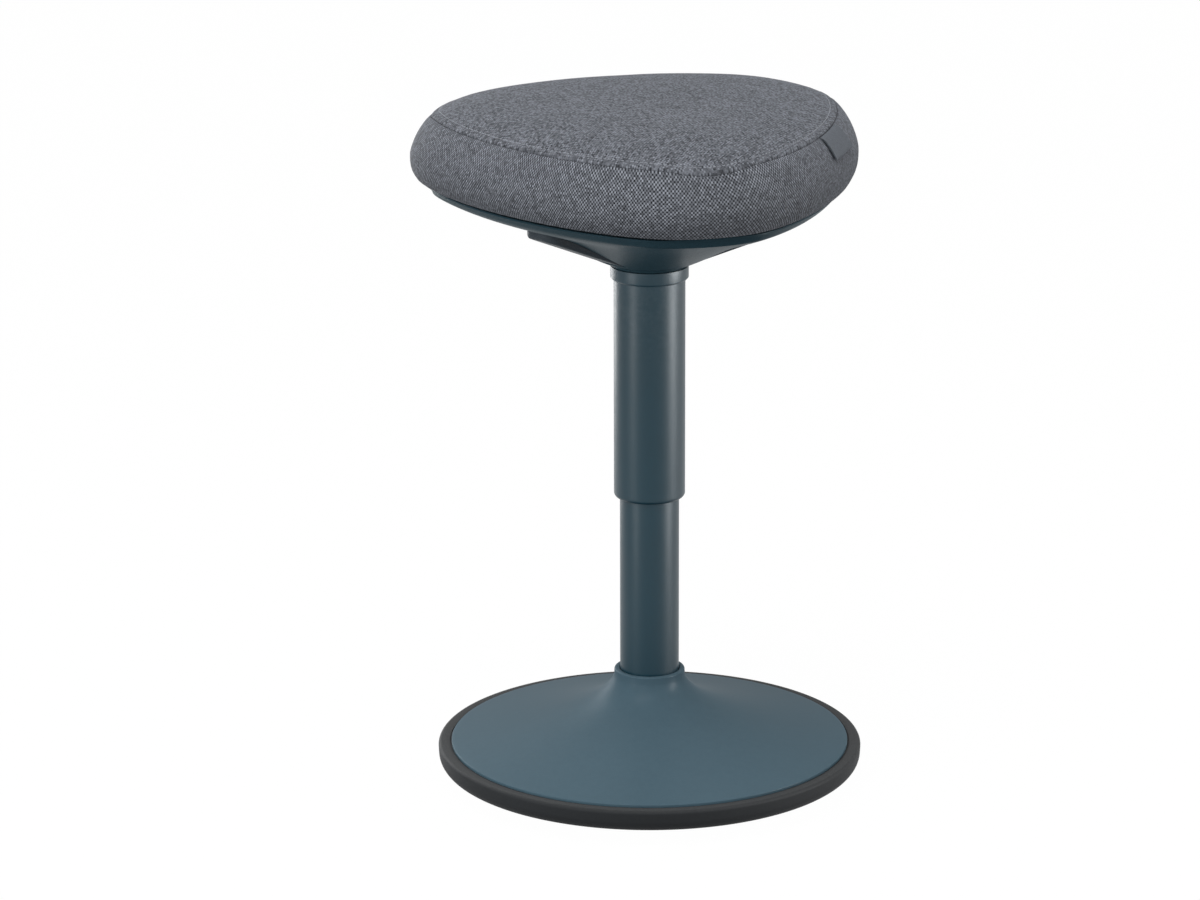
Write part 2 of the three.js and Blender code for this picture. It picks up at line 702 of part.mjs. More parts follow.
// Share of the way from neck to rim at a radius beside a lever
const flareShare = (panFlareRadius - panNeckRadius) / (panSideRadius - panNeckRadius);
const skirtShare = (panSideRadius - panSkirtInset - panNeckRadius) / (panSideRadius - panNeckRadius);
const skirtBottom = panRimHeight - panLipHeight - panSkirtHeight;

// Height of the funnel and its scoop at a share of the way out
function funnelAt(share) {
  const way = (share - flareShare) / (skirtShare - flareShare);
  const smooth = THREE.MathUtils.smoothstep(way, 0, panScoopShare);
  return [panFlareHeight + (skirtBottom - panFlareHeight) * way, smooth];
}

// Outer body of the pan as a filled solid
function makePanBody() {
  const rings = [panRing(panNeckRadius, 0, panNeckBottom, 0, 0)];
  const neckTop = panNeckBottom + panNeckHeight;
  rings.push(panRing(panNeckRadius, 0, neckTop, 0, 0));
  const [rollReach, rollRise] = panRollShares;
  const rollHeight = THREE.MathUtils.lerp(neckTop, panFlareHeight, rollRise);
  rings.push(panRing(panNeckRadius, flareShare * rollReach, rollHeight, 0, 0));
  for (let i = 0; i <= panSteps; i += 1) {
    const share = flareShare + ((skirtShare - flareShare) * i) / panSteps;
    const [height, scoop] = funnelAt(share);
    rings.push(panRing(panNeckRadius, share, height, scoop, 0));
  }
  const lipBottom = panRimHeight - panLipHeight;
  for (const [reach, rise, scoop] of panSkirtShares) {
    const share = THREE.MathUtils.lerp(skirtShare, 1, reach);
    rings.push(panRing(panNeckRadius, share, THREE.MathUtils.lerp(skirtBottom, lipBottom, rise), scoop, 0));
  }
  rings.push(panRing(panNeckRadius, 1, lipBottom, 0, 0));
  rings.push(panRing(panNeckRadius, 1, lipBottom + clearance, 0, -panLipReach));
  rings.push(panRing(panNeckRadius, 1, panRimHeight, 0, -panLipReach));
  return skin(rings, false);
}

// Hollow inside of the pan, open at the top
function makePanHollow() {
  const rings = [];
  for (let i = 0; i <= hollowSteps; i += 1) {
    const share = flareShare + ((skirtShare - flareShare) * i) / hollowSteps;
    const [height, scoop] = funnelAt(share);
    const rise = height + panWall;
    const floor = Math.max(panFloorHeight + (panFloorSlope * i) / hollowSteps, rise);
    rings.push(panRing(panNeckRadius - panWall, share, floor, rise > panFloorHeight ? scoop : 0, panWall));
  }
  const lipBottom = panRimHeight - panLipHeight;
  rings.push(panRing(panNeckRadius, 1, lipBottom, 0, panWall));
  rings.push(panRing(panNeckRadius, 1, panRimHeight + overrun, 0, panWall));
  return skin(rings, false);
}

// A prism of the seat outline between two heights
function outlinePrism(share, inset, bottom, top, sides) {
  const at = (height) => ring(sides, (angle) => outlinePoint(angle, share, inset, height));
  return skin([at(bottom), at(top)], false);
}

// Places of the pan's screws, two in the roof of each lever pocket
const panScrewPlaces = leverAngles.flatMap((angle) => [-1, 1].map((side) => {
  const place = new THREE.Vector3(panScrewCircle, (side * panScrewSpread) / 2, 0);
  return place.applyAxisAngle(new THREE.Vector3(0, 0, 1), angle);
}));

// Places of the mount's screws, one in each arm
const mountScrewPlaces = cornerAngles.map((angle) => {
  const place = new THREE.Vector3(mountArmReach - mountScrewInset, 0, 0);
  return place.applyAxisAngle(new THREE.Vector3(0, 0, 1), angle);
});

// Drills a hole at each place
function drill(solid, places, radius, bottom, top) {
  return places.reduce((rest, place) => {
    const hole = tube(0, radius, bottom, top, screwSides);
    return rest.subtract(hole.translate([place.x, place.y, 0]));
  }, solid);
}

// Seat pan: funnel shell with lever pockets, ribs, neck bore and screw holes
function makePan() {
  const body = makePanBody();
  const padInset = coverTurnIn + panPadGap;
  const pad = outlinePrism(panRimShare, padInset, panRimHeight - overrun, padHeight, seatSides);
  const reach = body.add(pad);
  let pan = body.subtract(makePanHollow());
  const halfOuter = pocketWidth / 2 + pocketWall;
  const outerLow = [pocketStart, -halfOuter, panNeckBottom];
  const outerBox = box(outerLow, [pocketEnd + pocketWall, halfOuter, padHeight]);
  const mouthLow = [pocketStart, -pocketWidth / 2, panNeckBottom];
  const mouth = box(mouthLow, [pocketEnd, pocketWidth / 2, pocketTop]);
  const gateLow = [pocketStart - overrun, -pocketWidth / 2, panFloorHeight];
  const gate = box(gateLow, [pocketStart + overrun, pocketWidth / 2, pocketTop]);
  for (const angle of cornerAngles) {
    for (const side of [-1, 1]) {
      const half = panRibThickness / 2;
      const rib = box([mountArmReach + panRibGap, -half, panFloorHeight], [seatMeanRadius, half, padHeight]);
      pan = pan.add(turned(rib, angle + side * panRibAngle).intersect(reach));
    }
  }
  for (const angle of leverAngles) pan = pan.add(turned(outerBox, angle).intersect(reach));
  for (const angle of leverAngles) {
    pan = pan.subtract(turned(mouth.add(gate), angle));
    const pinHole = crossPin(pinBoreRadius, 2 * halfOuter + overrun);
    pan = pan.subtract(turned(pinHole, angle));
  }
  pan = pan.subtract(tube(0, panBoreRadius, panNeckBottom - overrun, panTubeStop, columnSides));
  const sleeveBore = mountSleeveRadius + clearance;
  pan = pan.subtract(tube(0, sleeveBore, panNeckBottom, panFloorHeight + overrun, innerSides));
  return drill(pan, panScrewPlaces, panScrewRadius + clearance, pocketTop - overrun, padHeight + overrun);
}

// A cylinder across a lever's direction at its pivot
function crossPin(radius, length) {
  const geometry = new THREE.CylinderGeometry(radius, radius, length, pinSides);
  return toSolid(geometry.translate(pivotRadius, 0, pivotHeight));
}

// Lever: a paddle under the pan, a boss on the pin and a finger that reaches the spool
function makeLever() {
  const slope = (leverTipBottom - leverRootHeight) / (leverReach - leverRootRadius);
  const bossTop = pivotHeight + pivotBossRadius;
  const bossInner = pivotRadius - pivotBossRadius;
  const paddle = slab([
    [leverRootRadius, leverRootHeight],
    [leverReach - leverTipRound, leverTipBottom - leverTipRound * slope],
    [leverReach, leverTipBottom + leverTipRound], [leverReach, leverTipTop - leverTipRound],
    [leverReach - leverTipRound, leverTipTop], [pivotRadius + pivotBossRadius, bossTop],
    [bossInner, pivotHeight + pivotBossRadius / 2], [bossInner, pivotHeight - pivotBossRadius],
  ], leverWidth);
  const plan = new THREE.Shape();
  const half = leverWidth / 2;
  plan.moveTo(0, -half);
  plan.lineTo(leverReach - leverCornerRadius, -half);
  plan.absarc(leverReach - leverCornerRadius, leverCornerRadius - half, leverCornerRadius, -Math.PI / 2, 0);
  plan.absarc(leverReach - leverCornerRadius, half - leverCornerRadius, leverCornerRadius, 0, Math.PI / 2);
  plan.lineTo(0, half);
  const options = { depth: panRimHeight - panNeckBottom, bevelEnabled: false, curveSegments: roundSteps };
  const planSolid = toSolid(new THREE.ExtrudeGeometry(plan, options).translate(0, 0, panNeckBottom));
  const finger = slab([
    [pivotRadius, pivotHeight - fingerThickness], [fingerTipRadius + fingerTipLength, fingerTipBottom],
    [fingerTipRadius, fingerTipBottom], [fingerTipRadius, fingerTipTop],
    [fingerTipRadius + fingerTipLength, fingerTipTop], [pivotRadius, bossTop],
  ], fingerWidth);
  const bore = crossPin(pinBoreRadius, 2 * leverWidth);
  return paddle.intersect(planSolid).add(finger).subtract(bore);
}

function addLevers() {
  const pinLength = pocketWidth + 2 * pocketWall;
  leverAngles.forEach((angle, i) => {
    addPiece(`lever_${i + 1}`, turned(makeLever(), angle), panPlastic);
    addPiece(`lever_pin_${i + 1}`, turned(crossPin(pinRadius, pinLength), angle), steel);
  });
  const spoolTop = spoolGrooveTop + spoolFlange;
  const socket = valvePinRadius + clearance;
  const socketTop = spoolBottom + spoolSocketDepth;
  addPiece('release_spool', revolve([
    [0, socketTop], [socket, socketTop], [socket, spoolBottom], [spoolRadius, spoolBottom],
    [spoolRadius, spoolGrooveBottom], [spoolCoreRadius, spoolGrooveBottom], [spoolCoreRadius, spoolGrooveTop],
    [spoolRadius, spoolGrooveTop], [spoolRadius, spoolTop], [0, spoolTop],
  ], innerSides), plastic);
  addPiece('valve_pin', tube(0, valvePinRadius, valvePinBottom, valvePinTop, screwSides), steel);
}

// Steel mount: tapered sleeve, three webs and a plate with three arms under the board
function makeMount() {
  const sleeveTop = taperStart + mountSleeveHeight;
  const sleeve = revolveRing([
    [cylinderRadius + clearance, taperStart], [mountSleeveRadius, taperStart],
    [mountSleeveRadius, sleeveTop], [taperRadius(sleeveTop) + clearance, sleeveTop],
  ], innerSides);
  let mount = sleeve.add(tube(0, mountDiscRadius, mountPlateBottom, padHeight, columnSides));
  for (const angle of cornerAngles) {
    const half = mountArmWidth / 2;
    const arm = box([0, -half, mountPlateBottom], [mountArmReach, half, padHeight]);
    const webRoot = mountSleeveRadius - mountWebThickness / 2;
    const webFoot = mountSleeveRadius + mountWebThickness;
    const webBottom = panFloorHeight + clearance;
    const webTop = mountPlateBottom + clearance;
    const web = slab([
      [webRoot, webBottom], [webFoot, webBottom], [mountWebReach, mountPlateBottom - mountWebThickness],
      [mountWebReach, webTop], [webFoot, webTop], [webRoot, sleeveTop - clearance],
    ], mountWebThickness);
    mount = mount.add(turned(arm, angle)).add(turned(web, angle));
  }
  const holeRadius = mountScrewRadius + clearance;
  return drill(mount, mountScrewPlaces, holeRadius, mountPlateBottom - overrun, padHeight + overrun);
}

function addSeatFrame() {
  addPiece('seat_pan', makePan(), panPlastic);
  addPiece('seat_mount', makeMount(), steel);
  const screwTop = boardBottom + boardScrewBite;
  mountScrewPlaces.forEach((place, i) => {
    const seat = mountPlateBottom - clearance;
    const length = screwTop - seat;
    const bolt = screw(seat, mountScrewHeadHeight, mountScrewHeadRadius, mountScrewRadius, length, 1);
    addPiece(`mount_screw_${i + 1}`, bolt.translate([place.x, place.y, 0]), steel);
  });
  panScrewPlaces.forEach((place, i) => {
    const seat = pocketTop - clearance;
    const bolt = screw(seat, panScrewHeadHeight, panScrewHeadRadius, panScrewRadius, screwTop - seat, 1);
    addPiece(`pan_screw_${i + 1}`, bolt.translate([place.x, place.y, 0]), steel);
  });
  const holeTop = screwTop + clearance;
  let board = outlinePrism(panRimShare, coverInset, boardBottom, boardTop, seatSides);
  board = drill(board, mountScrewPlaces, mountScrewRadius + clearance, boardBottom - overrun, holeTop);
  board = drill(board, panScrewPlaces, panScrewRadius + clearance, boardBottom - overrun, holeTop);
  addPiece('seat_board', board, plywood);
}

// Cushion profile: level 0 is its foot, 1 its widest, 2 the shoulder and 3 the middle of the top
function cushionProfile(level) {
  if (level <= 1) {
    const open = (1 - (1 - level) ** lowerRound) ** (1 / lowerRound);
    return [panRimShare + (1 - panRimShare) * open, coverBottom + sideRise * level, 0];
  }
  if (level <= 2) {
    const way = level - 1;
    const drawn = (1 - way ** upperRound) ** (1 / upperRound);
    return [shoulderShare + (1 - shoulderShare) * drawn, wideHeight + shoulderRise * way, way * way];
  }
  const share = 3 - level;
  return [shoulderShare * share, shoulderHeight + crownRise * (1 - share ** crownRound), share ** dipFade];
}

// Direction in which the cushion's skin faces at a level, in radians above level
function cushionTilt(level) {
  const at = Math.min(Math.floor(level), 2);
  return THREE.MathUtils.degToRad(THREE.MathUtils.lerp(skinTilts[at], skinTilts[at + 1], level - at));
}

// Point of the cushion's surface, set in by an inset along the skin's direction
function cushionPoint(angle, level, inset) {
  const [share, height, dip] = cushionProfile(level);
  const tilt = cushionTilt(level);
  const drop = dip * shoulderDip * Math.cos(cornerCount * (angle - noseAngle));
  return outlinePoint(angle, share, inset * Math.cos(tilt), height - drop - inset * Math.sin(tilt));
}

// Rings of the cushion between two levels
function cushionRings(from, to, steps, inset) {
  return Array.from({ length: steps + 1 }, (_, i) => {
    const level = THREE.MathUtils.lerp(from, to, i / steps);
    return ring(cushionSides, (angle) => cushionPoint(angle, level, inset));
  });
}

// Foam block: it rests on the board and fills the cover
function makeFoam() {
  const lower = cushionRings(0, 1, lowerSteps, coverInset);
  const start = lower.findIndex(([first]) => first.z > foamBottom);
  const foot = lower[start].map((point, j) => {
    const below = lower[start - 1][j];
    return below.clone().lerp(point, (foamBottom - below.z) / (point.z - below.z));
  });
  const upper = cushionRings(1, 2, upperSteps, coverInset).slice(1);
  const top = cushionRings(2, panelMiddleLevel, topSteps, coverInset).slice(1);
  return skin([foot, ...lower.slice(start), ...upper, ...top], false);
}

// Top panel of the cover, from the seam to the middle
function makeTopPanel() {
  const panelRings = (inset) => [
    ...cushionRings(seamLevel + seamGap, 2, edgeSteps, inset),
    ...cushionRings(2, panelMiddleLevel, topSteps, inset).slice(1),
  ];
  return skin([...panelRings(coverSkin).reverse(), ...panelRings(0)], false);
}

// Side panel of the cover, from the seam down to the edge turned in under the board
function makeBand() {
  const bandRings = (inset) => [
    ...cushionRings(0, 1, lowerSteps, inset),
    ...cushionRings(1, seamLevel - seamGap, upperSteps, inset).slice(1),
  ];
  const edgeRing = (inset, height) => {
    return ring(cushionSides, (angle) => outlinePoint(angle, panRimShare, inset, height));
  };
  const outer = bandRings(0);
  const inner = bandRings(coverSkin);
  const turnTop = coverBottom + coverSkin;
  outer[0] = edgeRing(0, coverBottom);
  inner[0] = edgeRing(coverSkin, turnTop);
  const turnIn = [edgeRing(coverTurnIn, turnTop), edgeRing(coverTurnIn, coverBottom)];
  return skin([...outer, ...inner.reverse(), ...turnIn], true);
}

// Bare cloth tab sewn in at the seam, hanging over the band
function makeTab() {
  const bandRun = Math.hypot(shoulderRise, (1 - shoulderShare) * seatMeanRadius);
  const span = tabWidth / outlineBend(tabAngle, shoulderShare);
  const top = seamLevel - seamGap;
  const rows = [top - tabLength / bandRun, top - tabLength / bandRun / 2, top];
  const rings = Array.from({ length: tabSteps + 1 }, (_, i) => {
    const angle = tabAngle - span / 2 + (span * i) / tabSteps;
    const inner = rows.map((level) => cushionPoint(angle, level, -clearance));
    const outer = rows.map((level) => cushionPoint(angle, level, -clearance - tabThickness));
    return [...inner, ...outer.reverse()];
  });
  return skin(rings, false);
}

function addCushion() {
  addPiece('seat_foam', makeFoam(), foam);
  addPiece('cover_top', makeTopPanel(), fabric);
  addPiece('cover_band', makeBand(), fabric);
  addPiece('label_tab', makeTab(), labelCloth);
}

addBase();
addStandTube();
addRod();
addGasSpring();
addUpperTube();
addLevers();
addSeatFrame();
addCushion();

export default group;
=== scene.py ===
"""Wobble stool, dressed for its picture: rocking base, telescopic column and padded seat with release levers.

Sizes stand in millimetres in the classes and become metres in the meshes.
"""

import bisect
import json
import logging
import math
from dataclasses import dataclass, field
from enum import Enum
from typing import Callable, Optional, Sequence

import bmesh
import bpy
from mathutils import Matrix, Vector
from mathutils.bvhtree import BVHTree

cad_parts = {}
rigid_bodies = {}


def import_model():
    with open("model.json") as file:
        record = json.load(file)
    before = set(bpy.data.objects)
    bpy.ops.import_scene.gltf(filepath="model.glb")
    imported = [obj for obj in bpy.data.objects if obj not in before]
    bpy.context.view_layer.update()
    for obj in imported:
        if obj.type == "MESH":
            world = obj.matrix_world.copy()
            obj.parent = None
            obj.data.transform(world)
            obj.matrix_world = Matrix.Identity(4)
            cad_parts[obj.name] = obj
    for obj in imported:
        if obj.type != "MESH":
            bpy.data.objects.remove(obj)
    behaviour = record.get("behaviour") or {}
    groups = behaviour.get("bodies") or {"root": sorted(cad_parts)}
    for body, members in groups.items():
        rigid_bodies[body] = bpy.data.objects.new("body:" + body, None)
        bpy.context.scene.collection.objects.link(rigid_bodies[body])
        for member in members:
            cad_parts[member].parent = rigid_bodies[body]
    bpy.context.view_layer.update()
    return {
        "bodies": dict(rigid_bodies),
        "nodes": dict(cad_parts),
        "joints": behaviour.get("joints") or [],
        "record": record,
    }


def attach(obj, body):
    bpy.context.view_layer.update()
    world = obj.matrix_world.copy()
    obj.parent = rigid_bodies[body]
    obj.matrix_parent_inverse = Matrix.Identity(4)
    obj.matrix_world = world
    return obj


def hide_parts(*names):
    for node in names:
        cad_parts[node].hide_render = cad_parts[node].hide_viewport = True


log = logging.getLogger("wobble_stool")

MM = 0.001
TURN = 2 * math.pi
Profile = list[tuple[float, float]]
Colour = tuple[float, float, float]


class Body(Enum):
    """Bodies of the frame that pieces ride on."""

    BASE = "base"
    SEAT = "seat"
    LEVER_FRONT_RIGHT = "lever_front_right"
    LEVER_BACK = "lever_back"
    LEVER_FRONT_LEFT = "lever_front_left"


class Slot(Enum):
    """Material slots of the record."""

    PAINTED_TUBES = "painted_tubes"
    COVER_PAINT = "cover_paint"
    PAN_PLASTIC = "pan_plastic"
    RUBBER = "rubber"
    IRON = "iron"
    STEEL = "steel"
    INNER_PLASTIC = "inner_plastic"
    PLYWOOD = "plywood"
    FOAM = "foam"
    FABRIC = "fabric"
    LABEL_CLOTH = "label_cloth"


class Lay(Enum):
    """How the threads of a cloth lie on the seat."""

    FLAT = "across the top"
    ROUND = "round the side"


# Profiles


def arc(centre: tuple[float, float], radius: float, start: float, end: float, steps: int) -> Profile:
    """Points of an arc in a profile.

    Args:
        centre: Distance from the axis and height of the arc's centre.
        radius: Radius of the arc.
        start: First angle, in degrees.
        end: Last angle, in degrees.
        steps: Number of steps between them.

    Returns:
        The arc's points, first to last.
    """
    angles = [math.radians(start + (end - start) * i / steps) for i in range(steps + 1)]
    return [(centre[0] + radius * math.cos(a), centre[1] + radius * math.sin(a)) for a in angles]


def bezier(points: Sequence[tuple[float, float]], steps: int) -> Profile:
    """Points of a cubic curve in a profile.

    Args:
        points: The curve's four handles.
        steps: Number of steps along it.

    Returns:
        The curve's points, first to last.
    """
    weights = [((1 - s) ** 3, 3 * (1 - s) ** 2 * s, 3 * (1 - s) * s * s, s**3) for s in (i / steps for i in range(steps + 1))]
    return [tuple(sum(w * p[axis] for w, p in zip(row, points)) for axis in (0, 1)) for row in weights]


def eased(corners: Sequence[tuple[float, float, float]], steps: int = 4) -> Profile:
    """A closed profile with rounded corners.

    Args:
        corners: Distance from the axis, height and rounding of each corner.
        steps: Number of steps round a corner.

    Returns:
        The profile's points.
    """
    points: Profile = []
    for i, (x, z, radius) in enumerate(corners):
        here = Vector((x, z))
        before = Vector(corners[i - 1][:2]) - here
        after = Vector(corners[(i + 1) % len(corners)][:2]) - here
        if radius <= 0:
            points.append((x, z))
            continue
        half = before.angle(after) / 2
        cut = min(radius / math.tan(half), before.length / 2, after.length / 2)
        first, last = here + before.normalized() * cut, here + after.normalized() * cut
        for step in range(steps + 1):
            s = step / steps
            mixed = first * (1 - s) ** 2 + here * 2 * s * (1 - s) + last * s * s
            points.append((mixed.x, mixed.y))
    return points


def mixed(start: float, end: float, share: float) -> float:
    """A value between two others at a share of the way."""
    return start + (end - start) * share


def smooth_step(value: float, low: float, high: float) -> float:
    """Rises softly from 0 at low to 1 at high."""
    share = min(max((value - low) / (high - low), 0.0), 1.0)
    return share * share * (3 - 2 * share)


# Solids


class Solid:
    """A closed mesh under construction, which can be joined, cut and turned."""

    def __init__(self, points: Sequence[Sequence[float]], faces: Sequence[Sequence[int]]) -> None:
        """Makes the mesh.

        Args:
            points: Corners in millimetres.
            faces: Faces as lists of corner numbers.
        """
        mesh = bpy.data.meshes.new("solid")
        mesh.from_pydata([[c * MM for c in point] for point in points], [], [list(face) for face in faces])
        self.thing = bpy.data.objects.new("solid", mesh)
        bpy.context.scene.collection.objects.link(self.thing)
        self._face_outwards()

    def _face_outwards(self) -> None:
        """Turns all faces outwards."""
        mesh = bmesh.new()
        mesh.from_mesh(self.thing.data)
        bmesh.ops.recalc_face_normals(mesh, faces=mesh.faces)
        mesh.to_mesh(self.thing.data)
        mesh.free()

    @classmethod
    def loft(cls, rings: Sequence[Sequence[Vector]], looped: bool = False) -> "Solid":
        """A skin over rings of equally many points.

        Args:
            rings: The rings in order, each closed in itself.
            looped: Joins the last ring to the first instead of capping both.

        Returns:
            The solid.
        """
        sides = len(rings[0])
        points = [point for ring in rings for point in ring]
        faces = []
        spans = len(rings) if looped else len(rings) - 1
        for row in range(spans):
            low, high = row * sides, ((row + 1) % len(rings)) * sides
            for j in range(sides):
                k = (j + 1) % sides
                faces.append((low + j, low + k, high + k, high + j))
        if not looped:
            faces.append(tuple(range(sides)))
            faces.append(tuple(range(len(points) - sides, len(points))))
        return cls(points, faces)

    @classmethod
    def lathe(cls, profile: Profile, sides: int) -> "Solid":
        """A ring turned about the column's axis.

        Args:
            profile: Closed profile that stays clear of the axis.
            sides: Number of sides of the turning.

        Returns:
            The solid.
        """
        turns = [(math.cos(TURN * j / sides), math.sin(TURN * j / sides)) for j in range(sides)]
        return cls.loft([[Vector((x * c, x * s, z)) for c, s in turns] for x, z in profile], looped=True)

    @classmethod
    def spindle(cls, profile: Profile, sides: int, at: tuple[float, float] = (0.0, 0.0)) -> "Solid":
        """A full round turned about an upright axis, with flat ends.

        Args:
            profile: Profile from the lower end to the upper one.
            sides: Number of sides of the turning.
            at: Place of the axis.

        Returns:
            The solid.
        """
        turns = [(math.cos(TURN * j / sides), math.sin(TURN * j / sides)) for j in range(sides)]
        return cls.loft([[Vector((at[0] + x * c, at[1] + x * s, z)) for c, s in turns] for x, z in profile])

    @classmethod
    def slab(cls, outline: Profile, width: float) -> "Solid":
        """A side view given a width across it.

        Args:
            outline: Corners of the side view, out from the axis and up.
            width: Width across, half to each side.

        Returns:
            The solid.
        """
        return cls.loft([[Vector((x, side * width / 2, z)) for x, z in outline] for side in (-1, 1)])

    @classmethod
    def plan(cls, outline: Profile, bottom: float, top: float) -> "Solid":
        """A plan view given a height.

        Args:
            outline: Corners of the plan.
            bottom: Lower height.
            top: Upper height.

        Returns:
            The solid.
        """
        return cls.loft([[Vector((x, y, z)) for x, y in outline] for z in (bottom, top)])

    @classmethod
    def block(cls, low: Sequence[float], high: Sequence[float]) -> "Solid":
        """A block between two corners.

        Args:
            low: Lowest corner.
            high: Highest corner.

        Returns:
            The solid.
        """
        corners = [(low[0], low[1]), (high[0], low[1]), (high[0], high[1]), (low[0], high[1])]
        return cls.plan(corners, low[2], high[2])

    @classmethod
    def cross_pin(cls, radius: float, length: float, at: tuple[float, float], sides: int = 32) -> "Solid":
        """A pin across the lever's direction.

        Args:
            radius: Radius of the pin.
            length: Its length, half to each side.
            at: Distance from the axis and height of the pin.
            sides: Number of sides.

        Returns:
            The solid.
        """
        return cls.slab(arc(at, radius, 0, 360 - 360 / sides, sides - 1), length)

    def turned(self, angle: float) -> "Solid":
        """Turns the solid about the column's axis.

        Args:
            angle: Angle in radians.

        Returns:
            The solid itself.
        """
        self.thing.data.transform(Matrix.Rotation(angle, 4, "Z"))
        return self

    def copy(self) -> "Solid":
        """A second solid of the same shape."""
        other = Solid.__new__(Solid)
        other.thing = bpy.data.objects.new("solid", self.thing.data.copy())
        bpy.context.scene.collection.objects.link(other.thing)
        return other

    def apply(self) -> "Solid":
        """Applies the solid's modifiers to its mesh."""
        bpy.context.view_layer.update()
        graph = bpy.context.evaluated_depsgraph_get()
        mesh = bpy.data.meshes.new_from_object(self.thing.evaluated_get(graph))
        self.thing.modifiers.clear()
        old, self.thing.data = self.thing.data, mesh
        bpy.data.meshes.remove(old)
        return self

    def _combine(self, other: "Solid", operation: str) -> "Solid":
        """Combines the solid with another, which is used up.

        Args:
            other: The other solid.
            operation: UNION, DIFFERENCE or INTERSECT.

        Returns:
            The solid itself.
        """
        modifier = self.thing.modifiers.new("combine", "BOOLEAN")
        modifier.operation = operation
        modifier.solver = "MANIFOLD"
        modifier.object = other.thing
        self.apply()
        other.discard()
        return self

    def join(self, other: "Solid") -> "Solid":
        """Adds another solid."""
        return self._combine(other, "UNION")

    def cut(self, other: "Solid") -> "Solid":
        """Takes another solid away."""
        return self._combine(other, "DIFFERENCE")

    def meet(self, other: "Solid") -> "Solid":
        """Keeps what lies in both solids."""
        return self._combine(other, "INTERSECT")

    def bevelled(self, width: float, segments: int, angle: float) -> "Solid":
        """Rounds the solid's edges.

        Args:
            width: Width of the rounding.
            segments: Number of steps in it.
            angle: Least bend of an edge to be rounded, in degrees.

        Returns:
            The solid itself.
        """
        modifier = self.thing.modifiers.new("rounding", "BEVEL")
        modifier.width = width * MM
        modifier.segments = segments
        modifier.limit_method = "ANGLE"
        modifier.angle_limit = math.radians(angle)
        modifier.use_clamp_overlap = True
        return self.apply()

    def discard(self) -> None:
        """Removes the solid from the scene."""
        mesh = self.thing.data
        bpy.data.objects.remove(self.thing)
        bpy.data.meshes.remove(mesh)

    def finish(self, name: str, sharp: float = 32.0) -> bpy.types.Object:
        """Cleans and smooths the solid and gives it its name.

        Args:
            name: Name of the piece.
            sharp: Bend from which an edge stays sharp, in degrees.

        Returns:
            The piece.
        """
        mesh = bmesh.new()
        mesh.from_mesh(self.thing.data)
        bmesh.ops.remove_doubles(mesh, verts=mesh.verts, dist=1e-6)
        bmesh.ops.dissolve_degenerate(mesh, edges=mesh.edges, dist=1e-6)
        for face in mesh.faces:
            face.smooth = True
        for edge in mesh.edges:
            edge.smooth = len(edge.link_faces) == 2 and edge.calc_face_angle(0.0) < math.radians(sharp)
        mesh.to_mesh(self.thing.data)
        mesh.free()
        self.thing.name = name
        self.thing.data.name = name
        return self.thing


# Node trees


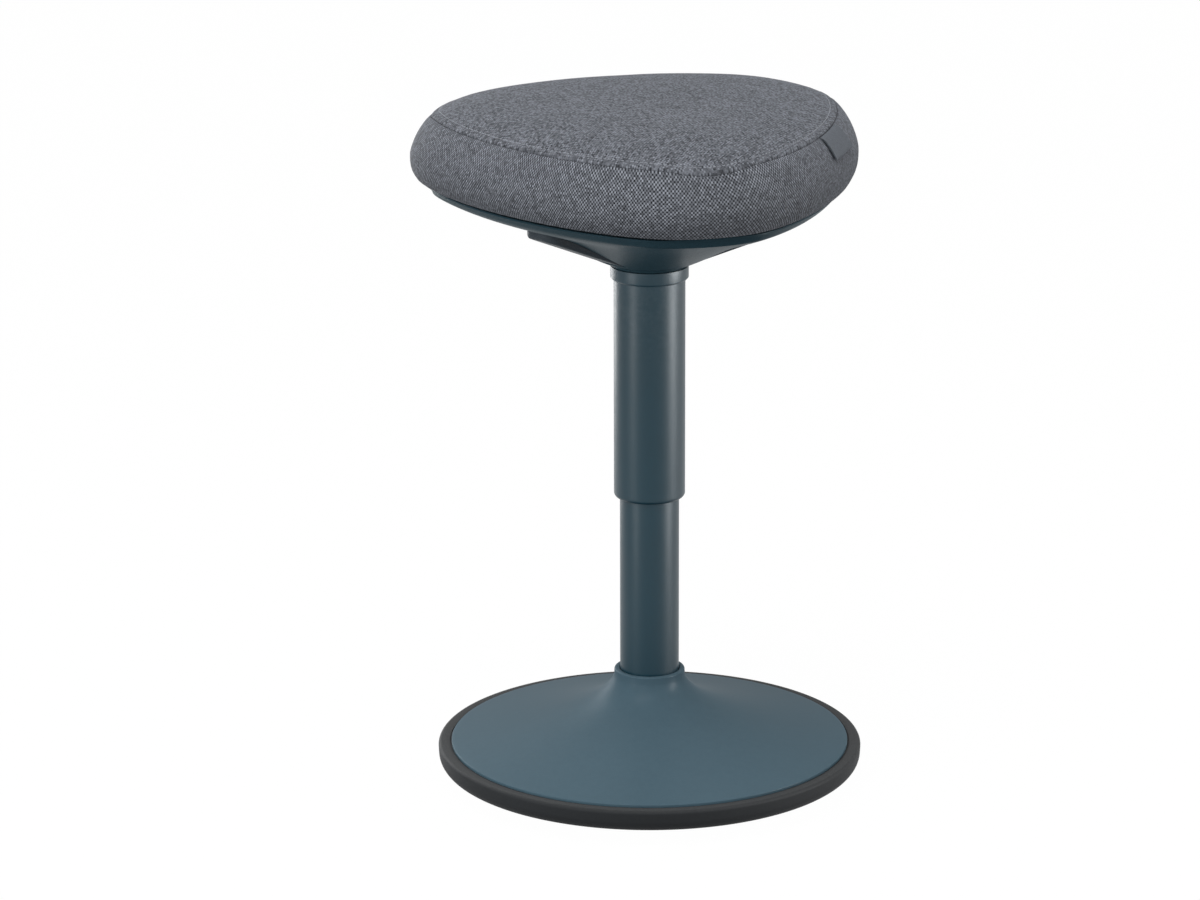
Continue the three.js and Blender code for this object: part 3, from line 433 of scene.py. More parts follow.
class Graph:
    """A node tree that takes plain values and links alike."""

    def __init__(self, tree: bpy.types.NodeTree) -> None:
        """Takes over a tree.

        Args:
            tree: The node tree to build in.
        """
        self.tree = tree

    def add(self, kind: str, settings: Optional[dict] = None, **inputs) -> bpy.types.Node:
        """Adds a node.

        Args:
            kind: The node's type name.
            settings: Properties of the node itself.
            inputs: Its inputs by name, with underscores for spaces: a link or a plain value.

        Returns:
            The node.
        """
        node = self.tree.nodes.new(kind)
        for name, value in (settings or {}).items():
            setattr(node, name, value)
        for name, value in inputs.items():
            self.feed(node.inputs[name.replace("_", " ")], value)
        return node

    def feed(self, socket: bpy.types.NodeSocket, value: object) -> None:
        """Links or sets one input.

        Args:
            socket: The input.
            value: A link's source, or a plain value.
        """
        if isinstance(value, bpy.types.NodeSocket):
            self.tree.links.new(value, socket)
        elif socket.type == "RGBA" and len(value) == 3:
            socket.default_value = (*value, 1.0)
        else:
            socket.default_value = value

    def math(self, operation: str, *values: object, clamp: bool = False) -> bpy.types.NodeSocket:
        """A sum or function of values.

        Args:
            operation: Name of the operation.
            values: Its inputs in order.
            clamp: Keeps the result between 0 and 1.

        Returns:
            The result.
        """
        node = self.tree.nodes.new("ShaderNodeMath")
        node.operation = operation
        node.use_clamp = clamp
        for socket, value in zip(node.inputs, values):
            self.feed(socket, value)
        return node.outputs[0]

    def mix(self, share: object, first: object, second: object, blend: str = "MIX") -> bpy.types.NodeSocket:
        """A mix of two colours.

        Args:
            share: Share of the second colour.
            first: First colour.
            second: Second colour.
            blend: How they are mixed.

        Returns:
            The mixed colour.
        """
        node = self.tree.nodes.new("ShaderNodeMix")
        node.data_type = "RGBA"
        node.blend_type = blend
        self.feed(node.inputs["Factor"], share)
        self.feed(node.inputs[6], first)
        self.feed(node.inputs[7], second)
        return node.outputs[2]

    def between(self, value: object, low: object, high: object, new_low: object, new_high: object) -> bpy.types.NodeSocket:
        """Moves a value from one range to another.

        Args:
            value: The value.
            low: Low end of its range.
            high: High end of its range.
            new_low: What the low end becomes.
            new_high: What the high end becomes.

        Returns:
            The moved value, held within the new range.
        """
        node = self.add("ShaderNodeMapRange", {"clamp": True}, Value=value, From_Min=low, From_Max=high, To_Min=new_low, To_Max=new_high)
        return node.outputs["Result"]

    def noise(self, place: object, scale: object, detail: float = 2.0, rough: float = 0.5) -> bpy.types.NodeSocket:
        """A soft noise from 0 to 1.

        Args:
            place: Where it is read.
            scale: Waves per metre.
            detail: Number of finer layers.
            rough: Strength of the finer layers.

        Returns:
            The noise.
        """
        node = self.add("ShaderNodeTexNoise", None, Vector=place, Scale=scale, Detail=detail, Roughness=rough)
        return node.outputs["Fac"]

    def place(self) -> bpy.types.NodeSocket:
        """Where a point lies on its piece, in metres."""
        return self.tree.nodes.new("ShaderNodeTexCoord").outputs["Object"]

    def stretched(self, place: object, stretch: Sequence[float]) -> bpy.types.NodeSocket:
        """Stretches the places that a texture is read at.

        Args:
            place: The places.
            stretch: Factor along each axis.

        Returns:
            The stretched places.
        """
        node = self.add("ShaderNodeVectorMath", {"operation": "MULTIPLY"})
        self.feed(node.inputs[0], place)
        self.feed(node.inputs[1], tuple(stretch))
        return node.outputs[0]


class Effect:
    """A shader node group that several finishes share."""

    def __init__(self, name: str, inputs: dict[str, object], outputs: dict[str, str]) -> None:
        """Makes the group and its sockets.

        Args:
            name: Name of the group.
            inputs: First value of each input: a number, a colour or None for a place.
            outputs: Kind of each output: Float or Color.
        """
        self.group = bpy.data.node_groups.new(name, "ShaderNodeTree")
        for key, value in inputs.items():
            kind = "Vector" if value is None else "Float" if isinstance(value, (int, float)) else "Color"
            socket = self.group.interface.new_socket(key, in_out="INPUT", socket_type=f"NodeSocket{kind}")
            if kind == "Float":
                socket.default_value = value
            elif kind == "Color":
                socket.default_value = (*value, 1.0)
        for key, kind in outputs.items():
            self.group.interface.new_socket(key, in_out="OUTPUT", socket_type=f"NodeSocket{kind}")
        self.graph = Graph(self.group)
        self.given = self.group.nodes.new("NodeGroupInput").outputs
        self.results = self.group.nodes.new("NodeGroupOutput").inputs

    def put_out(self, name: str, value: object) -> None:
        """Links a result to an output of the group.

        Args:
            name: Name of the output.
            value: The result.
        """
        self.graph.feed(self.results[name], value)

    def used_in(self, graph: Graph, **inputs) -> bpy.types.NodeOutputs:
        """Places the group in a material.

        Args:
            graph: The material's tree.
            inputs: The group's inputs by name, with underscores for spaces.

        Returns:
            The placed group's outputs.
        """
        return graph.add("ShaderNodeGroup", {"node_tree": self.group}, **inputs).outputs


class Effects:
    """The shared effects: grain, cloudiness, edge wear, settled dust, weave, plies and drawn lines."""

    def __init__(self) -> None:
        """Builds each effect once."""
        self.grain = self._grain()
        self.cloud = self._cloud()
        self.wear = self._wear()
        self.dust = self._dust()
        self.weave = self._weave()
        self.plies = self._plies()
        self.lines = self._lines()

    @staticmethod
    def _grain() -> Effect:
        """Fine pebbled grain of moulded, painted or cast skins."""
        effect = Effect("moulded grain", {"Place": None, "Scale": 1500.0, "Softness": 0.5}, {"Height": "Float", "Pits": "Float"})
        graph, given = effect.graph, effect.given
        cells = graph.add("ShaderNodeTexVoronoi", {"feature": "SMOOTH_F1"}, Vector=given["Place"], Scale=given["Scale"], Smoothness=given["Softness"])
        fine = graph.noise(given["Place"], graph.math("MULTIPLY", given["Scale"], 1.7), 3.0, 0.6)
        domes = graph.math("SUBTRACT", 1.0, cells.outputs["Distance"])
        effect.put_out("Height", graph.math("MULTIPLY_ADD", fine, 0.45, graph.math("MULTIPLY", domes, 0.55)))
        # The Pits mask also places the painted shade that the plastic and foam finishes put in the grain's pits.
        effect.put_out("Pits", graph.between(cells.outputs["Distance"], 0.35, 0.75, 0.0, 1.0))
        return effect

    @staticmethod
    def _cloud() -> Effect:
        """Slow drift of a colour over a large surface."""
        effect = Effect("slow drift", {"Place": None, "Color": (0.5, 0.5, 0.5), "Depth": 0.06, "Scale": 9.0}, {"Color": "Color", "Drift": "Float"})
        graph, given = effect.graph, effect.given
        slow = graph.noise(given["Place"], given["Scale"], 3.0, 0.55)
        fine = graph.noise(given["Place"], graph.math("MULTIPLY", given["Scale"], 21.0), 2.0, 0.5)
        both = graph.math("MULTIPLY_ADD", fine, 0.35, graph.math("MULTIPLY", slow, 0.65))
        factor = graph.between(both, 0.3, 0.7, graph.math("SUBTRACT", 1.0, given["Depth"]), graph.math("ADD", 1.0, given["Depth"]))
        shade = graph.add("ShaderNodeCombineColor", None, Red=factor, Green=factor, Blue=factor)
        effect.put_out("Color", graph.mix(1.0, given["Color"], shade.outputs[0], "MULTIPLY"))
        effect.put_out("Drift", both)
        return effect

    @staticmethod
    def _wear() -> Effect:
        """Rubbed edges, patchy along their length."""
        effect = Effect(
            "edge wear",
            {"Place": None, "Color": (0.5, 0.5, 0.5), "Worn Color": (0.6, 0.6, 0.6), "Amount": 0.4},
            {"Color": "Color", "Mask": "Float"},
        )
        graph, given = effect.graph, effect.given
        edge = graph.between(graph.add("ShaderNodeNewGeometry").outputs["Pointiness"], 0.56, 0.66, 0.0, 1.0)
        patches = graph.between(graph.noise(given["Place"], 140.0, 4.0, 0.65), 0.42, 0.62, 0.15, 1.0)
        mask = graph.math("MULTIPLY", graph.math("MULTIPLY", edge, patches), given["Amount"], clamp=True)
        effect.put_out("Color", graph.mix(mask, given["Color"], given["Worn Color"]))
        effect.put_out("Mask", mask)
        return effect

    @staticmethod
    def _dust() -> Effect:
        """Thin dust on surfaces that face up."""
        effect = Effect(
            "settled dust",
            {"Place": None, "Color": (0.5, 0.5, 0.5), "Dust Color": (0.45, 0.44, 0.42), "Amount": 0.05},
            {"Color": "Color", "Mask": "Float"},
        )
        graph, given = effect.graph, effect.given
        normal = graph.add("ShaderNodeSeparateXYZ", None, Vector=graph.add("ShaderNodeNewGeometry").outputs["Normal"])
        upward = graph.between(normal.outputs["Z"], 0.3, 1.0, 0.0, 1.0)
        specks = graph.between(graph.noise(given["Place"], 420.0, 4.0, 0.7), 0.35, 0.75, 0.3, 1.0)
        mask = graph.math("MULTIPLY", graph.math("MULTIPLY", upward, specks), given["Amount"], clamp=True)
        effect.put_out("Color", graph.mix(mask, given["Color"], given["Dust Color"]))
        effect.put_out("Mask", mask)
        return effect

    @staticmethod
    def _weave() -> Effect:
        """Plain weave of two heathered yarns: light ones rise over dark ones in every second square."""
        effect = Effect(
            "two-tone weave",
            {"Place": None, "Pitch": 1.6 * MM, "Warp Color": (0.3, 0.3, 0.3), "Weft Color": (0.1, 0.1, 0.1), "Rise": 0.3, "Heather": 0.35, "Mottle": 0.9},
            {"Color": "Color", "Height": "Float"},
        )
        graph, given = effect.graph, effect.given
        swayed = given["Place"]
        for scale, reach in ((18.0, 5.0 * MM), (160.0, 0.9 * MM)):
            sway = graph.add("ShaderNodeTexNoise", None, Vector=given["Place"], Scale=scale, Detail=2.0).outputs["Color"]
            shift = graph.add("ShaderNodeVectorMath", {"operation": "MULTIPLY_ADD"})
            graph.feed(shift.inputs[0], sway)
            graph.feed(shift.inputs[1], (reach, reach, 0.0))
            graph.feed(shift.inputs[2], swayed)
            swayed = shift.outputs[0]
        across = graph.add("ShaderNodeSeparateXYZ", None, Vector=swayed).outputs
        pitches = (given["Pitch"], graph.math("MULTIPLY", given["Pitch"], 1.16))
        counts = [graph.math("DIVIDE", across[axis], pitch) for axis, pitch in zip(("X", "Y"), pitches)]
        waves = [graph.math("COSINE", graph.math("MULTIPLY", count, math.pi)) for count in counts]
        light = graph.math("MULTIPLY_ADD", graph.math("MULTIPLY", *waves), given["Rise"], 0.5)
        cells = [graph.math("FLOOR", graph.math("ADD", count, 0.5)) for count in counts]
        tones = []
        for own, other in ((0, 1), (1, 0)):
            run = graph.math("FLOOR", graph.math("DIVIDE", cells[other], 7.0))
            yarn = graph.add("ShaderNodeCombineXYZ", None, X=cells[own], Y=run, Z=float(own))
            tones.append(graph.add("ShaderNodeTexWhiteNoise", {"noise_dimensions": "3D"}, Vector=yarn.outputs[0]).outputs["Value"])
        knot = graph.add("ShaderNodeCombineXYZ", None, X=cells[0], Y=cells[1], Z=2.0)
        knots = graph.add("ShaderNodeTexWhiteNoise", {"noise_dimensions": "3D"}, Vector=knot.outputs[0]).outputs["Value"]
        tone = graph.math("MULTIPLY_ADD", graph.math("ADD", *tones), 0.25, graph.math("MULTIPLY", knots, 1.5))
        fibres = graph.noise(given["Place"], 2600.0, 2.0, 0.6)
        mottle = graph.noise(given["Place"], 230.0, 4.0, 0.75)
        spread = graph.math("MULTIPLY", given["Heather"], graph.math("SUBTRACT", tone, 1.0))
        spread = graph.math("MULTIPLY_ADD", graph.math("SUBTRACT", fibres, 0.5), 0.5, spread)
        spread = graph.math("MULTIPLY_ADD", graph.math("SUBTRACT", mottle, 0.5), given["Mottle"], spread)
        factor = graph.math("ADD", 1.0, spread)
        shade = graph.add("ShaderNodeCombineColor", None, Red=factor, Green=factor, Blue=factor)
        yarns = graph.mix(light, given["Weft Color"], given["Warp Color"])
        effect.put_out("Color", graph.mix(1.0, yarns, shade.outputs[0], "MULTIPLY"))
        effect.put_out("Height", graph.math("MULTIPLY_ADD", fibres, 0.2, light))
        return effect

    @staticmethod
    def _plies() -> Effect:
        """Layers of veneer through a board, with grain along each layer."""
        effect = Effect(
            "veneer layers",
            {"Place": None, "Light Color": (0.6, 0.45, 0.3), "Dark Color": (0.35, 0.23, 0.13), "Thickness": 1.4 * MM},
            {"Color": "Color", "Height": "Float"},
        )
        graph, given = effect.graph, effect.given
        height = graph.add("ShaderNodeSeparateXYZ", None, Vector=given["Place"]).outputs["Z"]
        layer = graph.math("FLOORED_MODULO", graph.math("FLOOR", graph.math("DIVIDE", height, given["Thickness"])), 2.0)
        grain = graph.noise(graph.stretched(given["Place"], (1.0, 12.0, 30.0)), 28.0, 5.0, 0.6)
        share = graph.math("MULTIPLY_ADD", layer, 0.35, graph.math("MULTIPLY", grain, 0.6), clamp=True)
        effect.put_out("Color", graph.mix(share, given["Light Color"], given["Dark Color"]))
        effect.put_out("Height", grain)
        return effect

    @staticmethod
    def _lines() -> Effect:
        """Lines left round a turned or drawn metal part."""
        effect = Effect("drawn lines", {"Place": None, "Fineness": 1400.0, "Stretch": 0.02}, {"Height": "Float", "Streaks": "Float"})
        graph, given = effect.graph, effect.given
        split = graph.add("ShaderNodeSeparateXYZ", None, Vector=given["Place"]).outputs
        flat = [graph.math("MULTIPLY", split[axis], given["Stretch"]) for axis in ("X", "Y")]
        place = graph.add("ShaderNodeCombineXYZ", None, X=flat[0], Y=flat[1], Z=split["Z"]).outputs[0]
        streaks = graph.noise(place, given["Fineness"], 4.0, 0.7)
        effect.put_out("Height", streaks)
        effect.put_out("Streaks", graph.between(streaks, 0.3, 0.7, 0.0, 1.0))
        return effect


# Finishes


@dataclass(frozen=True)
class Finish:
    """What all finishes share: a name, a colour and a gloss."""

    name: str
    colour: Colour
    roughness: float

    def start(self, **constants: float) -> tuple[bpy.types.Material, Graph, bpy.types.Node]:
        """Makes the material with its shader.

        Args:
            constants: Plain values of the shader's inputs by name, with underscores for spaces.

        Returns:
            The material, its tree and its shader.
        """
        material = bpy.data.materials.new(self.name)
        material.use_nodes = True
        graph = Graph(material.node_tree)
        shader = material.node_tree.nodes["Principled BSDF"]
        for name, value in constants.items():
            graph.feed(shader.inputs[name.replace("_", " ")], value)
        return material, graph, shader

    @staticmethod
    def bump(graph: Graph, shader: bpy.types.Node, height: object, depth: float, strength: float) -> None:
        """Gives the shader a relief.

        Args:
            graph: The material's tree.
            shader: Its shader.
            height: The relief, from 0 to 1.
            depth: Depth of the relief in millimetres.
            strength: How much of it shows.
        """
        node = graph.add("ShaderNodeBump", None, Strength=strength, Distance=depth * MM, Height=height)
        graph.feed(shader.inputs["Normal"], node.outputs["Normal"])


@dataclass(frozen=True)
class Paint(Finish):
    """Satin paint over steel, with a faint orange-peel skin and rubbed edges."""

    coat: float = 0.0
    shine: float = 0.5
    worn: Colour = (0.16, 0.21, 0.24)
    dust: float = 0.03

    def material(self, effects: Effects) -> bpy.types.Material:
        """Builds the material.

        Args:
            effects: The shared effects.

        Returns:
            The material.
        """
        material, graph, shader = self.start(Specular_IOR_Level=self.shine, Coat_Weight=self.coat, Coat_Roughness=0.28)
        place = graph.place()
        drift = effects.cloud.used_in(graph, Place=place, Color=self.colour, Depth=0.05, Scale=7.0)
        wear = effects.wear.used_in(graph, Place=place, Color=drift["Color"], Worn_Color=self.worn, Amount=0.35)
        dust = effects.dust.used_in(graph, Place=place, Color=wear["Color"], Amount=self.dust)
        graph.feed(shader.inputs["Base Color"], dust["Color"])
        rough = graph.between(drift["Drift"], 0.3, 0.7, self.roughness - 0.04, self.roughness + 0.05)
        graph.feed(shader.inputs["Roughness"], graph.math("MULTIPLY_ADD", dust["Mask"], 0.4, rough))
        peel = effects.grain.used_in(graph, Place=place, Scale=850.0, Softness=0.9)
        self.bump(graph, shader, peel["Height"], 0.05, 0.25)
        return material


@dataclass(frozen=True)
class MouldedPlastic(Finish):
    """Moulded plastic with a fine spark-eroded grain, its pits darkened as painted shade."""

    grain_scale: float = 1300.0
    grain_depth: float = 0.08
    worn: Colour = (0.1, 0.13, 0.15)

    def material(self, effects: Effects) -> bpy.types.Material:
        """Builds the material.

        Args:
            effects: The shared effects.

        Returns:
            The material.
        """
        material, graph, shader = self.start(Specular_IOR_Level=0.05)
        place = graph.place()
        drift = effects.cloud.used_in(graph, Place=place, Color=self.colour, Depth=0.04, Scale=12.0)
        wear = effects.wear.used_in(graph, Place=place, Color=drift["Color"], Worn_Color=self.worn, Amount=0.3)
        grain = effects.grain.used_in(graph, Place=place, Scale=self.grain_scale, Softness=0.4)
        # Painted shade: the grain's pits are darkened up to a quarter of the way towards near-black.
        painted_pit_shade = graph.mix(graph.math("MULTIPLY", grain["Pits"], 0.25), wear["Color"], (0.004, 0.006, 0.008))
        graph.feed(shader.inputs["Base Color"], painted_pit_shade)
        rough = graph.between(grain["Height"], 0.3, 0.8, self.roughness + 0.06, self.roughness - 0.06)
        graph.feed(shader.inputs["Roughness"], rough)
        self.bump(graph, shader, grain["Height"], self.grain_depth, 0.35)
        return material


@dataclass(frozen=True)
class Rubber(Finish):
    """Matt rubber with a soft pebbled skin, dusty where it faces up."""

    dust: float = 0.1

    def material(self, effects: Effects) -> bpy.types.Material:
        """Builds the material.

        Args:
            effects: The shared effects.

        Returns:
            The material.
        """
        material, graph, shader = self.start(Specular_IOR_Level=0.15, Sheen_Weight=0.03, Sheen_Roughness=0.5)
        place = graph.place()
        drift = effects.cloud.used_in(graph, Place=place, Color=self.colour, Depth=0.08, Scale=15.0)
        scuffs = effects.wear.used_in(graph, Place=place, Color=drift["Color"], Worn_Color=(0.09, 0.09, 0.09), Amount=0.3)
        dust = effects.dust.used_in(graph, Place=place, Color=scuffs["Color"], Dust_Color=(0.2, 0.2, 0.19), Amount=self.dust)
        graph.feed(shader.inputs["Base Color"], dust["Color"])
        grain = effects.grain.used_in(graph, Place=place, Scale=1100.0, Softness=0.7)
        rough = graph.between(grain["Height"], 0.2, 0.8, self.roughness + 0.07, self.roughness - 0.07)
        graph.feed(shader.inputs["Roughness"], rough)
        self.bump(graph, shader, grain["Height"], 0.09, 0.35)
        return material


@dataclass(frozen=True)
class Metal(Finish):
    """Zinc plated steel or cast iron with drawn lines or a cast skin."""

    metallic: float = 1.0
    cast: bool = False

    def material(self, effects: Effects) -> bpy.types.Material:
        """Builds the material.

        Args:
            effects: The shared effects.

        Returns:
            The material.
        """
        material, graph, shader = self.start(Metallic=self.metallic)
        place = graph.place()
        drift = effects.cloud.used_in(graph, Place=place, Color=self.colour, Depth=0.1, Scale=30.0)
        wear = effects.wear.used_in(graph, Place=place, Color=drift["Color"], Worn_Color=(0.75, 0.75, 0.74), Amount=0.4)
        graph.feed(shader.inputs["Base Color"], wear["Color"])
        if self.cast:
            relief = effects.grain.used_in(graph, Place=place, Scale=500.0, Softness=0.3)["Height"]
        else:
            relief = effects.lines.used_in(graph, Place=place)["Height"]
        graph.feed(shader.inputs["Roughness"], graph.between(relief, 0.3, 0.7, self.roughness - 0.06, self.roughness + 0.1))
        self.bump(graph, shader, relief, 0.15 if self.cast else 0.03, 0.4)
        return material


@dataclass(frozen=True)
class Plywood(Finish):
    """Raw plywood that shows its layers at the edge."""

    dark: Colour = (0.3, 0.19, 0.1)

    def material(self, effects: Effects) -> bpy.types.Material:
        """Builds the material.

        Args:
            effects: The shared effects.

        Returns:
            The material.
        """
        material, graph, shader = self.start(Specular_IOR_Level=0.3)
        place = graph.place()
        plies = effects.plies.used_in(graph, Place=place, Light_Color=self.colour, Dark_Color=self.dark)
        graph.feed(shader.inputs["Base Color"], plies["Color"])
        graph.feed(shader.inputs["Roughness"], graph.between(plies["Height"], 0.3, 0.7, self.roughness - 0.08, self.roughness + 0.08))
        self.bump(graph, shader, plies["Height"], 0.1, 0.3)
        return material


@dataclass(frozen=True)
class Foam(Finish):
    """Open-celled foam, its cells darkened as painted shade."""

    def material(self, effects: Effects) -> bpy.types.Material:
        """Builds the material.

        Args:
            effects: The shared effects.

        Returns:
            The material.
        """
        material, graph, shader = self.start(Specular_IOR_Level=0.1)
        cells = effects.grain.used_in(graph, Place=graph.place(), Scale=700.0, Softness=0.1)
        # Painted shade: the foam's cells are mixed towards a darker yellow-brown.
        graph.feed(shader.inputs["Base Color"], graph.mix(cells["Pits"], self.colour, (0.35, 0.31, 0.2)))
        graph.feed(shader.inputs["Roughness"], graph.between(cells["Pits"], 0.0, 1.0, self.roughness - 0.05, self.roughness))
        self.bump(graph, shader, cells["Height"], 0.6, 0.8)
        return material


@dataclass(frozen=True)
class Cloth(Finish):
    """Woven cloth of light and dark heathered yarns."""

    dark: Colour = (0.022, 0.024, 0.030)
    lay: Lay = Lay.FLAT
    pitch: float = 1.4
    rise: float = 0.26
    heather: float = 0.8
    mottle: float = 0.25
    reach: float = 187.0
    relief: float = 0.22

    def _threads(self, graph: Graph) -> bpy.types.NodeSocket:
        """Places along the threads.

        Args:
            graph: The material's tree.

        Returns:
            Places whose first two axes run along the cloth's threads.
        """
        place = graph.place()
        if self.lay is Lay.FLAT:
            return place
        split = graph.add("ShaderNodeSeparateXYZ", None, Vector=place).outputs
        round_the_seat = graph.math("MULTIPLY", graph.math("ARCTAN2", split["Y"], split["X"]), self.reach * MM)
        return graph.add("ShaderNodeCombineXYZ", None, X=round_the_seat, Y=split["Z"]).outputs[0]

    def material(self, effects: Effects) -> bpy.types.Material:
        """Builds the material.

        Args:
            effects: The shared effects.

        Returns:
            The material.
        """
        material, graph, shader = self.start(Specular_IOR_Level=0.15, Sheen_Weight=0.12, Sheen_Roughness=0.45, Sheen_Tint=(0.8, 0.85, 0.95))
        weave = effects.weave.used_in(
            graph, Place=self._threads(graph), Pitch=self.pitch * MM, Warp_Color=self.colour,
            Weft_Color=self.dark, Rise=self.rise, Heather=self.heather, Mottle=self.mottle,
        )
        drift = effects.cloud.used_in(graph, Place=graph.place(), Color=weave["Color"], Depth=0.05, Scale=11.0)
        graph.feed(shader.inputs["Base Color"], drift["Color"])
        graph.feed(shader.inputs["Roughness"], graph.between(weave["Height"], 0.0, 1.0, self.roughness + 0.05, self.roughness - 0.08))
        self.bump(graph, shader, weave["Height"], self.relief, 0.6)
        return material


@dataclass(frozen=True)
class Thread(Finish):
    """Twisted sewing thread."""

    def material(self, effects: Effects) -> bpy.types.Material:
        """Builds the material.

        Args:
            effects: The shared effects.

        Returns:
            The material.
        """
        material, graph, shader = self.start(Specular_IOR_Level=0.25, Sheen_Weight=0.15)
        place = graph.place()
        drift = effects.cloud.used_in(graph, Place=place, Color=self.colour, Depth=0.2, Scale=180.0)
        twist = effects.lines.used_in(graph, Place=place, Fineness=2400.0, Stretch=0.8)
        graph.feed(shader.inputs["Base Color"], drift["Color"])
        graph.feed(shader.inputs["Roughness"], graph.between(twist["Streaks"], 0.0, 1.0, self.roughness - 0.1, self.roughness + 0.1))
        self.bump(graph, shader, twist["Height"], 0.08, 0.5)
        return material


class Wardrobe:
    """All finishes of the stool as materials, one for each slot and some more for the seat."""

    def __init__(self) -> None:
        """Builds every material once."""
        effects = Effects()
        fabric = {"colour": (0.272, 0.290, 0.328), "roughness": 0.9}
        self.slots = {
            Slot.PAINTED_TUBES: Paint("satin tube paint", (0.006, 0.042, 0.064), 0.4, shine=0.45),
            Slot.COVER_PAINT: Paint("satin cover paint", (0.084, 0.146, 0.186), 0.6, coat=0.08, shine=0.03),
            Slot.PAN_PLASTIC: MouldedPlastic("grained pan plastic", (0.028, 0.066, 0.088), 0.42),
            Slot.RUBBER: Rubber("charcoal rubber", (0.028, 0.031, 0.034), 0.68),
            Slot.IRON: Metal("cast plate", (0.23, 0.23, 0.235), 0.6, metallic=0.8, cast=True),
            Slot.STEEL: Metal("zinc plated steel", (0.58, 0.59, 0.61), 0.34),
            Slot.INNER_PLASTIC: MouldedPlastic("bearing plastic", (0.03, 0.03, 0.032), 0.45),
            Slot.PLYWOOD: Plywood("raw plywood", (0.56, 0.40, 0.24), 0.65),
            Slot.FOAM: Foam("seat foam", (0.62, 0.56, 0.40), 0.95),
            Slot.FABRIC: Cloth("heather weave across the top", **fabric),
            Slot.LABEL_CLOTH: Cloth(
                "label tape", (0.15, 0.167, 0.19), 0.85, dark=(0.10, 0.112, 0.13), lay=Lay.ROUND, pitch=0.7, heather=0.2, relief=0.12,
            ),
        }
        self.slots = {slot: finish.material(effects) for slot, finish in self.slots.items()}
        # Painted light: the levers get a lighter, greyer copy of the pan plastic, standing in for the light they catch.
        self.lever_plastic_painted_lighter = MouldedPlastic("lever plastic painted lighter", (0.085, 0.104, 0.122), 0.45).material(effects)
        self.side_cloth = Cloth("heather weave round the side", lay=Lay.ROUND, rise=0.85, heather=0.6, **fabric).material(effects)
        self.light_thread = Thread("light topstitch thread", (0.36, 0.38, 0.42), 0.7).material(effects)
        self.dark_thread = Thread("dark seam thread", (0.018, 0.019, 0.024), 0.8).material(effects)


def place(
    solid: Solid, name: str, body: Body, slot: Slot, wardrobe: Wardrobe, stands_for: Sequence[str] = (), sharp: float = 32.0
) -> bpy.types.Object:
    """Finishes a solid as a piece of the stool.

    Args:
        solid: The solid.
        name: Name of the piece.
        body: Body that it rides on.
        slot: Slot that it takes its finish from.
        wardrobe: The materials.
        stands_for: Nodes of the frame that it replaces.
        sharp: Bend from which an edge stays sharp, in degrees.

    Returns:
        The piece.
    """
    piece = solid.finish(name, sharp)
    kinds = [face.material_index for face in piece.data.polygons]
    piece.data.materials.clear()
    piece.data.materials.append(wardrobe.slots[slot])
    piece.data.polygons.foreach_set("material_index", kinds)
    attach(piece, body.value)
    if stands_for:
        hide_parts(*stands_for)
    log.info("%s: %d faces, on %s", name, len(piece.data.polygons), body.value)
    return piece


# Sub-assemblies


